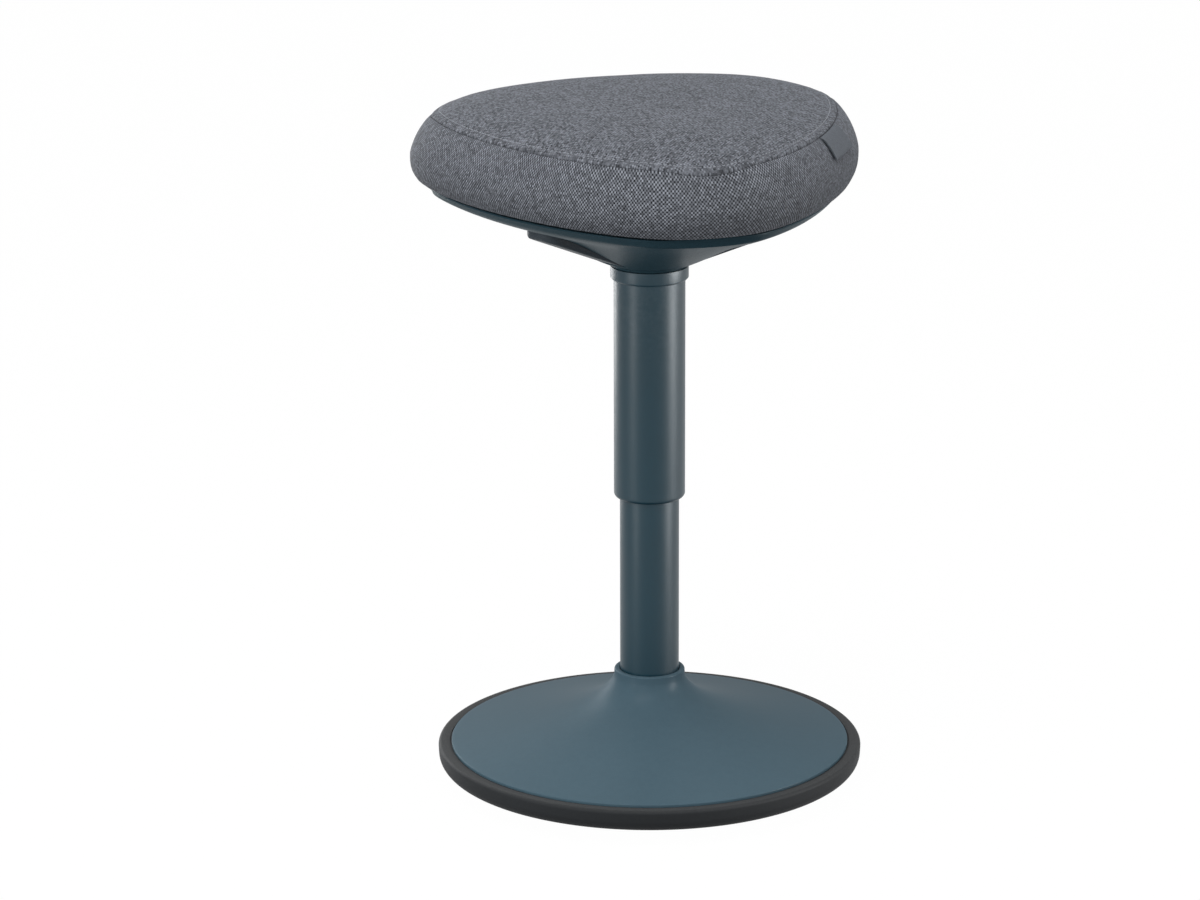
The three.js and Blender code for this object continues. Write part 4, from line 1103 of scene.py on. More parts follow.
@dataclass
class RockingBase:
    """Domed sole, soft ring and flared cover."""

    sides: int = 192
    flat_radius: float = 45.0
    rim_radius: float = 163.0
    sag: float = 12.0
    rim_height: float = 4.0
    sole_wall: float = 4.0
    rib_width: float = 5.0
    rib_shares: tuple[float, ...] = (0.66, 0.34)
    ring_radius: float = 180.3
    ring_top: float = 31.4
    ring_step: float = 30.6
    ring_lower: float = 10.8
    ring_shoulder: float = 3.0
    cover_radius: float = 169.1
    ring_mouth: float = 170.3
    edge_height: float = 33.4
    neck_radius: float = 29.9
    neck_top: float = 96.0
    neck_straight: float = 5.0
    cone: tuple[tuple[float, float], ...] = ((110.0, 46.0), (62.0, 60.0), (44.0, 73.0))
    fillet: tuple[tuple[float, float], ...] = ((38.5, 77.0), (31.0, 84.0))
    cover_wall: float = 2.5
    bore_radius: float = 25.3
    gap: float = 0.3

    def _rise(self, radius: float) -> float:
        """Height of the sole's underside at a distance from the axis."""
        run = self.rim_radius - self.flat_radius
        bend = (run * run + self.sag * self.sag) / (2 * self.sag)
        return bend - math.sqrt(bend * bend - max(radius - self.flat_radius, 0.0) ** 2)

    def _sole(self) -> Solid:
        """The domed sole with ring ribs on its inside."""
        top = self.sag + self.rim_height
        under = [(0.05, 0.0)]
        under += [(r, self._rise(r)) for r in (self.flat_radius + (self.rim_radius - 1 - self.flat_radius) * i / 24 for i in range(25))]
        under += arc((self.rim_radius - 1, self.sag + 1), 1.0, -80, 0, 4)
        inside = [(self.rim_radius, top)]
        for outer in (self.rim_radius, *(self.rim_radius * share for share in self.rib_shares)):
            inner = outer - self.rib_width
            if outer < self.rim_radius:
                inside += [(outer, self._rise(outer) + self.sole_wall), (outer, top)]
            inside += [(inner, top), (inner, self._rise(inner) + self.sole_wall)]
        return Solid.spindle(under + inside + [(0.05, self.sole_wall)], self.sides)

    def _ring(self) -> Solid:
        """The soft ring, rounded below, with a shallow crown on its lip."""
        bore = self.rim_radius + self.gap
        shoulder = (self.ring_radius - self.ring_shoulder, self.ring_top - self.ring_shoulder)
        lower = (self.ring_radius - self.ring_lower - self.gap, self.sag + self.ring_lower)
        lip = 0.5
        profile = [(bore, self.sag)]
        profile += arc(lower, self.ring_lower, -90, 0, 20)
        profile += arc(shoulder, self.ring_shoulder, 0, 90, 12)
        profile += arc((self.ring_mouth + lip, self.ring_top - lip), lip, 90, 180, 5)
        profile += [(self.ring_mouth, self.ring_step), (bore, self.ring_step)]
        return Solid.lathe(profile, self.sides)

    def _cover(self) -> Solid:
        """The flared cover, rolled at its edge and eased round the stand tube."""
        edge, top = 0.9, 1.6
        outside = bezier(((self.cover_radius - edge, self.edge_height), *self.cone), 44)
        outside += bezier((self.cone[-1], *self.fillet, (self.neck_radius, self.neck_top - self.neck_straight)), 20)[1:]
        roll = arc((self.cover_radius - edge, self.edge_height - edge), edge, 0, 78, 5)
        collar = arc((self.neck_radius - top, self.neck_top - top), top, 0, 90, 8)
        collar += arc((self.bore_radius + top * 0.8, self.neck_top - top * 0.8), top * 0.8, 90, 180, 6)
        inside: Profile = []
        for before, after in zip(outside, outside[1:]):
            run = (Vector(after) - Vector(before)).normalized()
            middle = (Vector(before) + Vector(after)) / 2
            inside.append((middle.x - run.y * self.cover_wall, middle.y + run.x * self.cover_wall))
        foot = self.ring_step + self.gap
        rim = [(self.cover_radius - self.cover_wall / 2, foot), (self.cover_radius, foot)]
        lowest = [point for point in reversed(inside) if point[1] > foot + 0.2 and point[0] < self.cover_radius - self.cover_wall]
        throat = [(self.bore_radius, lowest[0][1]), (lowest[0][0], lowest[0][1] - 0.1)]
        return Solid.lathe(rim + roll + outside[1:-1] + collar + throat + lowest[1:], self.sides)

    def build(self, wardrobe: Wardrobe) -> None:
        """Builds and dresses the base.

        Args:
            wardrobe: The materials.
        """
        place(self._sole(), "base_sole", Body.BASE, Slot.RUBBER, wardrobe, ["rocker_sole"])
        place(self._ring(), "base_rubber_ring", Body.BASE, Slot.RUBBER, wardrobe, ["base_ring"])
        place(self._cover(), "base_flared_cover", Body.BASE, Slot.COVER_PAINT, wardrobe, ["base_cover"])


@dataclass
class Column:
    """Stand tube, upper tube with its rolled end, and the collar under the seat."""

    sides: int = 128
    stand_radius: float = 25.0
    stand_wall: float = 2.0
    stand_bottom: float = 14.0
    stand_floor: float = 3.0
    stand_top: float = 300.0
    floor_bore: float = 5.3
    upper_radius: float = 30.0
    upper_bottom: float = 248.3
    upper_top: float = 461.7
    roll: float = 4.0
    lip_gap: float = 0.6
    collar_wall: float = 2.5
    collar_bottom: float = 438.0
    collar_top: float = 449.4
    gap: float = 0.3

    def _stand_tube(self) -> Solid:
        """The lower tube with its floor."""
        inner = self.stand_radius - self.stand_wall
        floor = self.stand_bottom + self.stand_floor
        return Solid.lathe(eased([
            (self.floor_bore, self.stand_bottom, 0.0), (self.stand_radius, self.stand_bottom, 0.8),
            (self.stand_radius, self.stand_top, 0.5), (inner, self.stand_top, 0.5),
            (inner, floor, 0.0), (self.floor_bore, floor, 0.0),
        ]), self.sides)

    def _upper_tube(self) -> Solid:
        """The upper tube, rolled in round the stand tube."""
        lip = self.stand_radius + self.lip_gap
        centre = (self.upper_radius - self.roll, self.upper_bottom + self.roll)
        inner = self.upper_radius - self.stand_wall
        profile = arc((lip + 0.6, self.upper_bottom + 0.6), 0.6, 180, 270, 4)
        profile += arc(centre, self.roll, -88, 0, 14)
        profile += [(self.upper_radius, self.upper_top), (inner, self.upper_top)]
        profile += arc(centre, self.roll - self.stand_wall, 0, -90, 6)
        profile.append((lip, self.upper_bottom + self.stand_wall))
        return Solid.lathe(profile, self.sides)

    def _collar(self) -> Solid:
        """The chamfered collar."""
        bore = self.upper_radius + self.gap
        outer = bore + self.collar_wall
        return Solid.lathe(eased([
            (bore, self.collar_bottom, 0.2), (outer - 1.4, self.collar_bottom, 0.5), (outer, self.collar_bottom + 1.6, 0.7),
            (outer, self.collar_top, 0.4), (bore, self.collar_top, 0.2),
        ], 3), self.sides)

    def build(self, wardrobe: Wardrobe) -> None:
        """Builds and dresses the column.

        Args:
            wardrobe: The materials.
        """
        place(self._stand_tube(), "lower_column_tube", Body.BASE, Slot.PAINTED_TUBES, wardrobe, ["stand_tube"])
        place(self._upper_tube(), "upper_column_tube", Body.SEAT, Slot.PAINTED_TUBES, wardrobe, ["upper_tube"])
        place(self._collar(), "column_collar", Body.SEAT, Slot.PAINTED_TUBES, wardrobe, ["tube_collar"])


@dataclass(frozen=True)
class SeatOutline:
    """Three-cornered outline of the seat, by how far its edge lies in each direction."""

    mean_radius: float = 187.2
    lobe: float = 17.3
    lobe_trim: float = 2.2
    corners: int = 3
    nose: float = -math.pi / 2

    def point(self, angle: float, share: float, inset: float, height: float) -> Vector:
        """Point of the outline whose edge faces a direction.

        Args:
            angle: The direction.
            share: Size as a share of the full outline.
            inset: How far the point is drawn in.
            height: Its height.

        Returns:
            The point.
        """
        turn = self.corners * (angle - self.nose)
        reach = share * (self.mean_radius + self.lobe * math.cos(turn) - self.lobe_trim * math.cos(2 * turn)) - inset
        swing = self.corners * (2 * self.lobe_trim * math.sin(2 * turn) - self.lobe * math.sin(turn))
        side = share * swing
        c, s = math.cos(angle), math.sin(angle)
        return Vector((reach * c - side * s, reach * s + side * c, height))

    def lobes(self, angle: float) -> float:
        """1 at a corner, -1 halfway between two corners."""
        return math.cos(self.corners * (angle - self.nose))

    def narrow(self, share: float) -> float:
        """Distance of the sides from the axis at a share of the outline."""
        return share * (self.mean_radius - self.lobe - self.lobe_trim)

    def corner_angles(self) -> list[float]:
        """Directions of the three corners, nose first."""
        return [self.nose + TURN * i / self.corners for i in range(self.corners)]

    def lever_angles(self) -> list[float]:
        """Directions of the three levers, front right first."""
        return [angle + math.pi / self.corners for angle in self.corner_angles()]


@dataclass
class SeatPan:
    """Funnel-shaped pan with its scoops, skirt, lip, lever pockets and ribs."""

    outline: SeatOutline
    sides: int = 216
    neck_radius: float = 32.4
    neck_bottom: float = 449.7
    neck_height: float = 2.4
    flare_radius: float = 40.0
    flare_height: float = 454.4
    floor_height: float = 465.0
    rim_share: float = 0.92
    rim_height: float = 515.4
    lip_height: float = 1.9
    lip_reach: float = 1.5
    corner_inset: float = 5.0
    skirt_height: float = 6.4
    skirt_inset: float = 4.0
    scoop_depth: float = 4.0
    scoop_share: float = 0.6
    scoop_turn: tuple[tuple[float, float], ...] = ((128.0, 500.5), (151.5, 503.5))
    steps: int = 64
    wall: float = 3.0
    pad_height: float = 517.2
    pad_inset: float = 16.0
    pocket_start: float = 45.5
    pocket_end: float = 133.5
    pocket_width: float = 37.0
    pocket_wall: float = 2.5
    pocket_top: float = 514.2
    pivot: tuple[float, float] = (52.0, 480.0)
    pin_bore: float = 2.8
    tube_bore: float = 30.3
    tube_stop: float = 462.0
    sleeve_bore: float = 19.8
    screw_circle: float = 108.0
    screw_spread: float = 20.0
    screw_bore: float = 2.3
    rib_thickness: float = 2.5
    rib_start: float = 84.0
    rib_angle: float = 0.24
    shares: dict[str, float] = field(init=False)

    def __post_init__(self) -> None:
        """Works out the shares of the way out at which the pan's parts meet."""
        run = self.outline.narrow(self.rim_share) - self.neck_radius
        self.shares = {"flare": (self.flare_radius - self.neck_radius) / run, "skirt": 1 - self.skirt_inset / run}
        self.lip_bottom = self.rim_height - self.lip_height
        self.skirt_bottom = self.lip_bottom - self.skirt_height

    def _ring(
        self, radius: float, corner: tuple[float, float], side: tuple[float, float] | None = None, inset: float = 0.0
    ) -> list[Vector]:
        """One ring of the pan, a circle that opens towards the rim's outline.

        Args:
            radius: Radius of the circle at the neck.
            corner: Share of the way out and height at the corners.
            side: The same between two corners, or nothing where the ring is level.
            inset: How far the rim is drawn in.

        Returns:
            The ring's points.
        """
        points = []
        for j in range(self.sides):
            angle = self.outline.nose + TURN * j / self.sides
            facing = Vector((math.cos(angle), math.sin(angle), 0))
            lobes = self.outline.lobes(angle)
            drawn = inset + self.corner_inset * max(lobes, 0.0)
            rim = self.outline.point(angle, self.rim_share, drawn, 0.0) - facing * self.neck_radius
            share, height = (mixed(a, b, (1 - lobes) / 2) for a, b in zip(corner, side or corner))
            points.append(facing * radius + rim * share + Vector((0, 0, height)))
        return points

    def _even(self, course: Profile) -> Profile:
        """Points at even steps along a course of the pan, from its flare to its lip."""
        run = self.outline.narrow(self.rim_share) - self.neck_radius
        lengths = [0.0]
        for (a, b), (c, d) in zip(course, course[1:]):
            lengths.append(lengths[-1] + math.hypot((c - a) * run, d - b))
        points, at = [], 0
        for i in range(self.steps + 1):
            length = lengths[-1] * i / self.steps
            while at < len(course) - 2 and lengths[at + 1] < length:
                at += 1
            way = (length - lengths[at]) / max(lengths[at + 1] - lengths[at], 1e-9)
            points.append(tuple(mixed(a, b, way) for a, b in zip(course[at], course[at + 1])))
        return points

    def _courses(self) -> tuple[Profile, Profile]:
        """The pan from its flare to its lip, at a corner and between two corners."""
        flare, skirt = self.shares["flare"], self.shares["skirt"]
        foot = bezier(((0, 0), (0.55, 0.0), (1, 0.05), (1, 0.36)), 9)
        corner = [(mixed(flare, skirt, i / 40), mixed(self.flare_height, self.skirt_bottom, i / 40)) for i in range(40)]
        corner += [(mixed(skirt, 1, reach), mixed(self.skirt_bottom, self.lip_bottom, rise)) for reach, rise in foot]
        corner.append((1, self.lip_bottom))
        side = []
        for i in range(31):
            way = self.scoop_share * i / 30
            lift = self.scoop_depth * smooth_step(way, 0, self.scoop_share)
            side.append((mixed(flare, skirt, way), mixed(self.flare_height, self.skirt_bottom, way) + lift))
        run = self.outline.narrow(self.rim_share) - self.neck_radius
        turn = [((reach - self.neck_radius) / run, height) for reach, height in self.scoop_turn]
        side += bezier((side[-1], *turn, (1, self.lip_bottom)), 30)[1:]
        return self._even(corner), self._even(side)

    def _body(self) -> Solid:
        """The outside of the pan as a filled solid."""
        neck_top = self.neck_bottom + self.neck_height
        flare = self.shares["flare"]
        rings = [self._ring(self.neck_radius - 0.5, (0, self.neck_bottom)), self._ring(self.neck_radius, (0, self.neck_bottom + 0.5))]
        neck = bezier(((0, neck_top), (0, mixed(neck_top, self.flare_height, 0.62)), (flare * 0.42, self.flare_height - 0.5),
                       (flare, self.flare_height)), 10)
        rings += [self._ring(self.neck_radius, point) for point in neck]
        rings += [self._ring(self.neck_radius, corner, side) for corner, side in list(zip(*self._courses()))[1:-1]]
        edge = self.lip_reach / 2
        lip = arc((-self.lip_reach + edge, self.lip_bottom + edge), edge, -90, 0, 5)
        lip += arc((-self.lip_reach + edge, self.rim_height - 0.5), edge, 0, 80, 5)
        for reach, height in lip:
            out = reach + self.lip_reach - edge
            rings.append(self._ring(self.neck_radius, (1, min(height, self.rim_height)), None, -(edge + out)))
        return Solid.loft(rings)

    def _hollow(self) -> Solid:
        """The inside of the pan."""
        rings = []
        for i, places in enumerate(list(zip(*self._courses()))[:-6:3]):
            places = [(share, max(height + self.wall, self.floor_height + i / 20)) for share, height in places]
            rings.append(self._ring(self.neck_radius - self.wall, *places, self.wall))
        rings.append(self._ring(self.neck_radius, (1, self.rim_height - 0.6), None, self.wall))
        rings.append(self._ring(self.neck_radius, (1, self.rim_height + 2), None, self.wall))
        return Solid.loft(rings)

    def _reach(self) -> Solid:
        """All that the pan's ribs and pockets may fill."""
        angles = [self.outline.nose + TURN * j / self.sides for j in range(self.sides)]
        heights = (self.rim_height - 2, self.pad_height)
        pad = Solid.loft([[self.outline.point(a, self.rim_share, self.pad_inset, z) for a in angles] for z in heights])
        return self._body().join(pad)

    def _pan(self) -> Solid:
        """The whole pan."""
        reach = self._reach()
        pan = self._body().cut(self._hollow())
        half = self.pocket_width / 2
        outer = half + self.pocket_wall
        for angle in self.outline.corner_angles():
            for side in (-1, 1):
                low = (self.rib_start, -self.rib_thickness / 2, self.floor_height)
                rib = Solid.block(low, (self.outline.mean_radius, self.rib_thickness / 2, self.pad_height))
                pan.join(rib.turned(angle + side * self.rib_angle).meet(reach.copy()))
        for angle in self.outline.lever_angles():
            walls = Solid.block((self.pocket_start, -outer, self.neck_bottom), (self.pocket_end + self.pocket_wall, outer, self.pad_height))
            pan.join(walls.turned(angle).meet(reach.copy()))
        for angle in self.outline.lever_angles():
            pan.cut(Solid.block((self.pocket_start, -half, self.neck_bottom - 2), (self.pocket_end, half, self.pocket_top)).turned(angle))
            pan.cut(Solid.block((self.pocket_start - 2, -half, self.floor_height), (self.pocket_start + 2, half, self.pocket_top)).turned(angle))
            pan.cut(Solid.cross_pin(self.pin_bore, 2 * outer + 2, self.pivot).turned(angle))
            for side in (-1, 1):
                place_of_screw = Matrix.Rotation(angle, 4, "Z") @ Vector((self.screw_circle, side * self.screw_spread / 2, 0))
                hole = [(self.screw_bore, self.pocket_top - 2), (self.screw_bore, self.pad_height + 2)]
                pan.cut(Solid.spindle(hole, 24, place_of_screw.xy))
        pan.cut(Solid.spindle([(self.tube_bore, self.neck_bottom - 2), (self.tube_bore, self.tube_stop)], 96))
        pan.cut(Solid.spindle([(self.sleeve_bore, self.neck_bottom - 2), (self.sleeve_bore, self.floor_height + 2)], 64))
        reach.discard()
        return pan

    def build(self, wardrobe: Wardrobe) -> None:
        """Builds and dresses the pan.

        Args:
            wardrobe: The materials.
        """
        place(self._pan(), "seat_funnel_pan", Body.SEAT, Slot.PAN_PLASTIC, wardrobe, ["seat_pan"], sharp=38.0)


@dataclass
class Levers:
    """The three release levers: paddle, boss and finger."""

    outline: SeatOutline
    reach: float = 131.0
    width: float = 35.0
    root: tuple[float, float] = (47.0, 458.6)
    tip_bottom: float = 493.7
    tip_top: float = 502.7
    tip_round: float = 3.6
    corner_radius: float = 13.0
    pivot: tuple[float, float] = (52.0, 480.0)
    boss: float = 5.5
    bore: float = 2.8
    finger_width: float = 9.0
    finger_tip: float = 8.0
    finger_length: float = 9.0
    finger_bottom: float = 493.0
    finger_thickness: float = 5.0
    easing: float = 3.2

    def _section(self, x: float) -> list[Vector]:
        """Rounded section of the paddle at a distance from the axis."""
        px, pz = self.pivot
        below = mixed(self.root[1], self.tip_bottom, (x - self.root[0]) / (self.reach - self.root[0]))
        start = px + self.boss
        if x < start:
            above = mixed(pz + self.boss / 2, pz + self.boss, (x - px + self.boss) / (2 * self.boss))
        else:
            above = mixed(pz + self.boss, self.tip_top, (x - start) / (self.reach - start))
        drawn = [radius - math.sqrt(radius**2 - max(x - self.reach + radius, 0.0) ** 2) for radius in (self.corner_radius, self.tip_round)]
        half, low, high = self.width / 2 - drawn[0], below + drawn[1], above - drawn[1]
        corner = min(self.easing, 0.48 * (high - low), 0.48 * half)
        points = []
        for side, level, first in ((1, low, -90), (1, high, 0), (-1, high, 90), (-1, low, 180)):
            middle = (side * (half - corner), level + (corner if level == low else -corner))
            points += [Vector((x, y, z)) for y, z in arc(middle, corner, first, first + 90, 7)]
        return points

    def _paddle(self) -> Solid:
        """The paddle, a tongue with a rounded tip."""
        bend = self.reach - self.corner_radius
        places = [mixed(self.pivot[0] - self.boss, bend, i / 12) for i in range(12)]
        places += [bend + self.corner_radius * math.sin(math.radians(a)) for a in range(0, 72, 6)]
        places += [self.reach - self.tip_round * (1 - math.sin(math.radians(a))) for a in (10, 25, 40, 52, 64, 76, 90)]
        return Solid.loft([self._section(x) for x in sorted(places)])

    def _finger(self) -> Solid:
        """The finger that reaches the release spool."""
        px, pz = self.pivot
        end = self.finger_tip + self.finger_length
        top = self.finger_bottom + self.finger_thickness
        return Solid.slab([
            (px, pz - self.finger_thickness), (end, self.finger_bottom), (self.finger_tip, self.finger_bottom),
            (self.finger_tip, top), (end, top), (px, pz + self.boss),
        ], self.finger_width)

    def build(self, wardrobe: Wardrobe) -> None:
        """Builds and dresses the levers.

        Args:
            wardrobe: The materials.
        """
        bodies = (Body.LEVER_FRONT_RIGHT, Body.LEVER_BACK, Body.LEVER_FRONT_LEFT)
        for i, (angle, body) in enumerate(zip(self.outline.lever_angles(), bodies), 1):
            lever = self._paddle().join(self._finger()).cut(Solid.cross_pin(self.bore, 2 * self.width, self.pivot))
            piece = place(lever.turned(angle), f"release_lever_{i}", body, Slot.PAN_PLASTIC, wardrobe, [f"lever_{i}"], sharp=40.0)
            # The lighter copy of the pan plastic on the levers is painted light.
            piece.data.materials[0] = wardrobe.lever_plastic_painted_lighter


@dataclass
class Cushion:
    """Padded seat: foam in a sewn cover with a side panel, a top panel, seam, topstitch and a bare tab."""

    outline: SeatOutline
    foot_share: float = 0.92
    foot: float = 517.4
    wrap: float = 515.7
    widest: float = 539.2
    shoulder: float = 573.4
    crown: float = 590.0
    shoulder_share: float = 0.889
    shoulder_dip: float = 0.0
    rounds: tuple[float, float, float] = (2.9, 1.38, 5.2)
    tilts: tuple[float, float, float, float] = (-50.0, 0.0, 50.0, 90.0)
    board_bottom: float = 517.2
    board_top: float = 527.8
    turn_in: float = 15.0
    cover_skin: float = 1.5
    seam_level: float = 1.97
    corner_drop: float = 6.0
    drop_width: float = 0.3
    drop_reach: float = 30.0
    sides: int = 300
    row_length: float = 3.6
    seam_rows: tuple[float, ...] = (-9, -6.5, -4.5, -3, -2, -1.3, -0.7, -0.3, 0, 0.3, 0.7, 1.3, 2, 3.2, 5, 6.4, 7.3, 8, 8.7, 9.6, 11, 13)
    seam_depth: float = 0.9
    seam_width: float = 0.8
    stitch_row: float = 8.0
    stitch_dent: float = 0.55
    slack: float = 0.5
    fullness: float = 0.8
    cap: float = 6.0
    voxel: float = 5.0
    frames: int = 20
    pressure: float = 6.0
    stiffness: float = 60.0
    bending: float = 14.0
    arcs: list[float] = field(init=False, default_factory=list)
    levels: list[float] = field(init=False, default_factory=list)

    def __post_init__(self) -> None:
        """Measures the way along the profile from the foot to the middle of the top."""
        steps = 600
        total, last = 0.0, None
        for i in range(steps + 1):
            level = 3 * i / steps
            share, height, _ = self._profile(level)
            here = Vector((share * self.outline.mean_radius, height))
            total += (here - last).length if last else 0.0
            last = here
            self.arcs.append(total)
            self.levels.append(level)
        self.seam_arc = self._arc(self.seam_level)
        self.swelling: Optional[BVHTree] = None

    def _arc(self, level: float) -> float:
        """Way along the profile at a level."""
        return self.arcs[min(int(level / 3 * (len(self.arcs) - 1)), len(self.arcs) - 1)]

    def _level(self, way: float) -> float:
        """Level at a way along the profile."""
        i = min(max(bisect.bisect_left(self.arcs, way), 1), len(self.arcs) - 1)
        share = (way - self.arcs[i - 1]) / max(self.arcs[i] - self.arcs[i - 1], 1e-9)
        return mixed(self.levels[i - 1], self.levels[i], min(max(share, 0.0), 1.0))

    def _dropped(self, way: float, angle: float) -> float:
        """Level at a way along the profile, with the seam's drop at the corners.

        Args:
            way: Way along the profile.
            angle: Direction in which the edge faces.

        Returns:
            The level.
        """
        off = min(abs((angle - corner + math.pi) % TURN - math.pi) for corner in self.outline.corner_angles())
        near = math.exp(-(((way - self.seam_arc) / self.drop_reach) ** 2))
        return self._level(max(way - self.corner_drop * near * math.exp(-((off / self.drop_width) ** 2)), 0.0))

    def _profile(self, level: float) -> tuple[float, float, float]:
        """Share of the outline, height and share of the corners' dip.

        Args:
            level: 0 at the foot, 1 at the widest, 2 at the shoulder and 3 in the middle of the top.

        Returns:
            The three values.
        """
        lower, upper, top = self.rounds
        if level <= 1:
            opened = (1 - (1 - level) ** lower) ** (1 / lower)
            return mixed(self.foot_share, 1, opened), mixed(self.foot, self.widest, level), 0.0
        if level <= 2:
            way = level - 1
            drawn = (1 - way**upper) ** (1 / upper)
            return mixed(self.shoulder_share, 1, drawn), mixed(self.widest, self.shoulder, way), way * way
        share = max(3 - level, 0.0)
        return self.shoulder_share * share, mixed(self.crown, self.shoulder, share**top), share**3

    def _outward(self, angle: float, level: float) -> Vector:
        """Direction in which the cushion's skin faces."""
        at = min(int(level), 2)
        tilt = math.radians(mixed(self.tilts[at], self.tilts[at + 1], level - at))
        return Vector((math.cos(angle) * math.cos(tilt), math.sin(angle) * math.cos(tilt), math.sin(tilt)))

    def _point(self, angle: float, level: float, inset: float = 0.0) -> Vector:
        """Point of the plain form.

        Args:
            angle: Direction in which the edge faces.
            level: Level on the profile.
            inset: How far the point is drawn in.

        Returns:
            The point.
        """
        share, height, dip = self._profile(level)
        drop = dip * self.shoulder_dip * self.outline.lobes(angle)
        return self.outline.point(angle, share, 0.0, height - drop) - self._outward(angle, level) * inset

    def _angles(self) -> list[float]:
        """Directions of the cushion's columns of points."""
        return [self.outline.nose + TURN * j / self.sides for j in range(self.sides)]

    def _core(self) -> Solid:
        """A slightly smaller closed form to be swollen."""
        levels = [0.12, 0.3, 0.5, 0.75, 1.0, 1.25, 1.5, 1.7, 1.85, 2.0, 2.1, 2.25, 2.45, 2.65, 2.85, 2.97]
        angles = self._angles()[::3]
        return Solid.loft([[self._point(a, level, self.slack) for a in angles] for level in levels])

    def _swell(self) -> None:
        """Blows the smaller form up as cloth and keeps the swollen skin to lay the panels on."""
        core = self._core()
        remesh = core.thing.modifiers.new("even mesh", "REMESH")
        remesh.mode = "VOXEL"
        remesh.voxel_size = self.voxel * MM
        core.apply()
        thing, scene = core.thing, bpy.context.scene
        rest = [vertex.co.copy() for vertex in thing.data.vertices]
        held = thing.vertex_groups.new(name="held by the board")
        held.add([i for i, co in enumerate(rest) if co.z < (self.board_top + 1) * MM], 1.0, "REPLACE")
        cloth = thing.modifiers.new("swelling", "CLOTH")
        settings = cloth.settings
        settings.quality = 6
        settings.mass = 0.3
        settings.tension_stiffness = settings.compression_stiffness = self.stiffness
        settings.shear_stiffness = self.stiffness / 2
        settings.bending_stiffness = self.bending
        settings.use_pressure = True
        settings.uniform_pressure_force = self.pressure
        settings.effector_weights.gravity = 0
        settings.vertex_group_mass = held.name
        cloth.point_cache.frame_start, cloth.point_cache.frame_end = 1, self.frames
        for frame in range(1, self.frames + 1):
            scene.frame_set(frame)
        graph = bpy.context.evaluated_depsgraph_get()
        swollen = [vertex.co.copy() for vertex in thing.evaluated_get(graph).data.vertices]
        thing.modifiers.clear()
        scene.frame_set(1)
        furthest = 0.0
        for vertex, start, end in zip(thing.data.vertices, rest, swollen):
            way = end - start
            furthest = max(furthest, way.length / MM)
            if way.length > self.cap * MM:
                way = way.normalized() * self.cap * MM
            vertex.co = start + way
        finer = thing.modifiers.new("finer", "SUBSURF")
        finer.levels = finer.render_levels = 1
        core.apply()
        log.info("cushion swollen on %d points, by up to %.1f mm before the cap", len(rest), furthest)
        mesh = core.thing.data
        self.swelling = BVHTree.FromPolygons([v.co / MM for v in mesh.vertices], [p.vertices[:] for p in mesh.polygons])
        core.discard()

    def _proud(self, angle: float, level: float) -> float:
        """How far the swollen skin stands proud of the plain form."""
        if self.swelling is None:
            return 0.0
        out = self._outward(angle, level)
        start = self._point(angle, level) + out * 20
        hit = self.swelling.ray_cast(start, -out, 40)
        return 0.0 if hit[0] is None else 20 - hit[3]

    def _ways(self) -> list[float]:
        """Ways along the profile at which the cushion has a row of points."""
        low, high = self.seam_arc + self.seam_rows[0], self.seam_arc + self.seam_rows[-1]
        below = [low * i / round(low / self.row_length) for i in range(round(low / self.row_length))]
        total = self.arcs[-1]
        count = round((total - high) / self.row_length)
        above = [mixed(high, total, i / count) for i in range(1, count)]
        return below + [self.seam_arc + d for d in self.seam_rows] + above

    def _sewn(self, way: float, round_way: float) -> float:
        """How far seam and topstitch push the skin out or in.

        Args:
            way: Way along the profile.
            round_way: Way round the seat.

        Returns:
            Distance outwards.
        """
        off = way - self.seam_arc
        seam = -self.seam_depth * math.exp(-((off / self.seam_width) ** 2)) - 0.3 * math.exp(-((off / 3.2) ** 2))
        row = off - self.stitch_row
        stitches = -self.stitch_dent * math.exp(-((row / 0.8) ** 2))
        strip = 0.45 * math.exp(-(((off - self.stitch_row / 2) / 2.4) ** 2))
        ripple = math.sin(round_way / 2.9) * 0.5 + math.sin(round_way / 4.7 + 1.3) * 0.35 + math.sin(round_way / 11.0 + 0.4) * 0.5
        gathers = 0.22 * ripple * (math.exp(-(((off + 4.5) / 4.0) ** 2)) + 0.8 * math.exp(-(((row - 4.0) / 4.5) ** 2)))
        return seam + stitches + strip + gathers

    def _skin_points(self) -> list[list[Vector]]:
        """Rows of points of the sewn skin, from the foot to the middle of the top."""
        angles, ways = self._angles(), self._ways()
        levels = [[self._dropped(way, angle) for angle in angles] for way in ways]
        proud = [[self._proud(angle, level) for angle, level in zip(angles, row)] for row in levels]
        for _ in range(6):
            proud = self._evened(proud)
        rows = []
        for way, along, row in zip(ways, levels, proud):
            points = []
            for angle, level, swollen in zip(angles, along, row):
                round_way = self.outline.mean_radius * (angle - self.outline.nose)
                out = (swollen + self.fullness) * smooth_step(level, 0.0, 0.35) + self._sewn(way, round_way)
                points.append(self._point(angle, level) + self._outward(angle, level) * out)
            rows.append(points)
        return rows

    def _evened(self, field_of_offsets: list[list[float]]) -> list[list[float]]:
        """Averages each offset with its neighbours.

        Args:
            field_of_offsets: Offsets by row and column.

        Returns:
            The evened offsets.
        """
        last = len(field_of_offsets) - 1
        evened = []
        for i, row in enumerate(field_of_offsets):
            below, above = field_of_offsets[max(i - 1, 0)], field_of_offsets[min(i + 1, last)]
            count = len(row)
            evened.append([(2 * row[j] + row[j - 1] + row[(j + 1) % count] + below[j] + above[j]) / 6 for j in range(count)])
        return evened

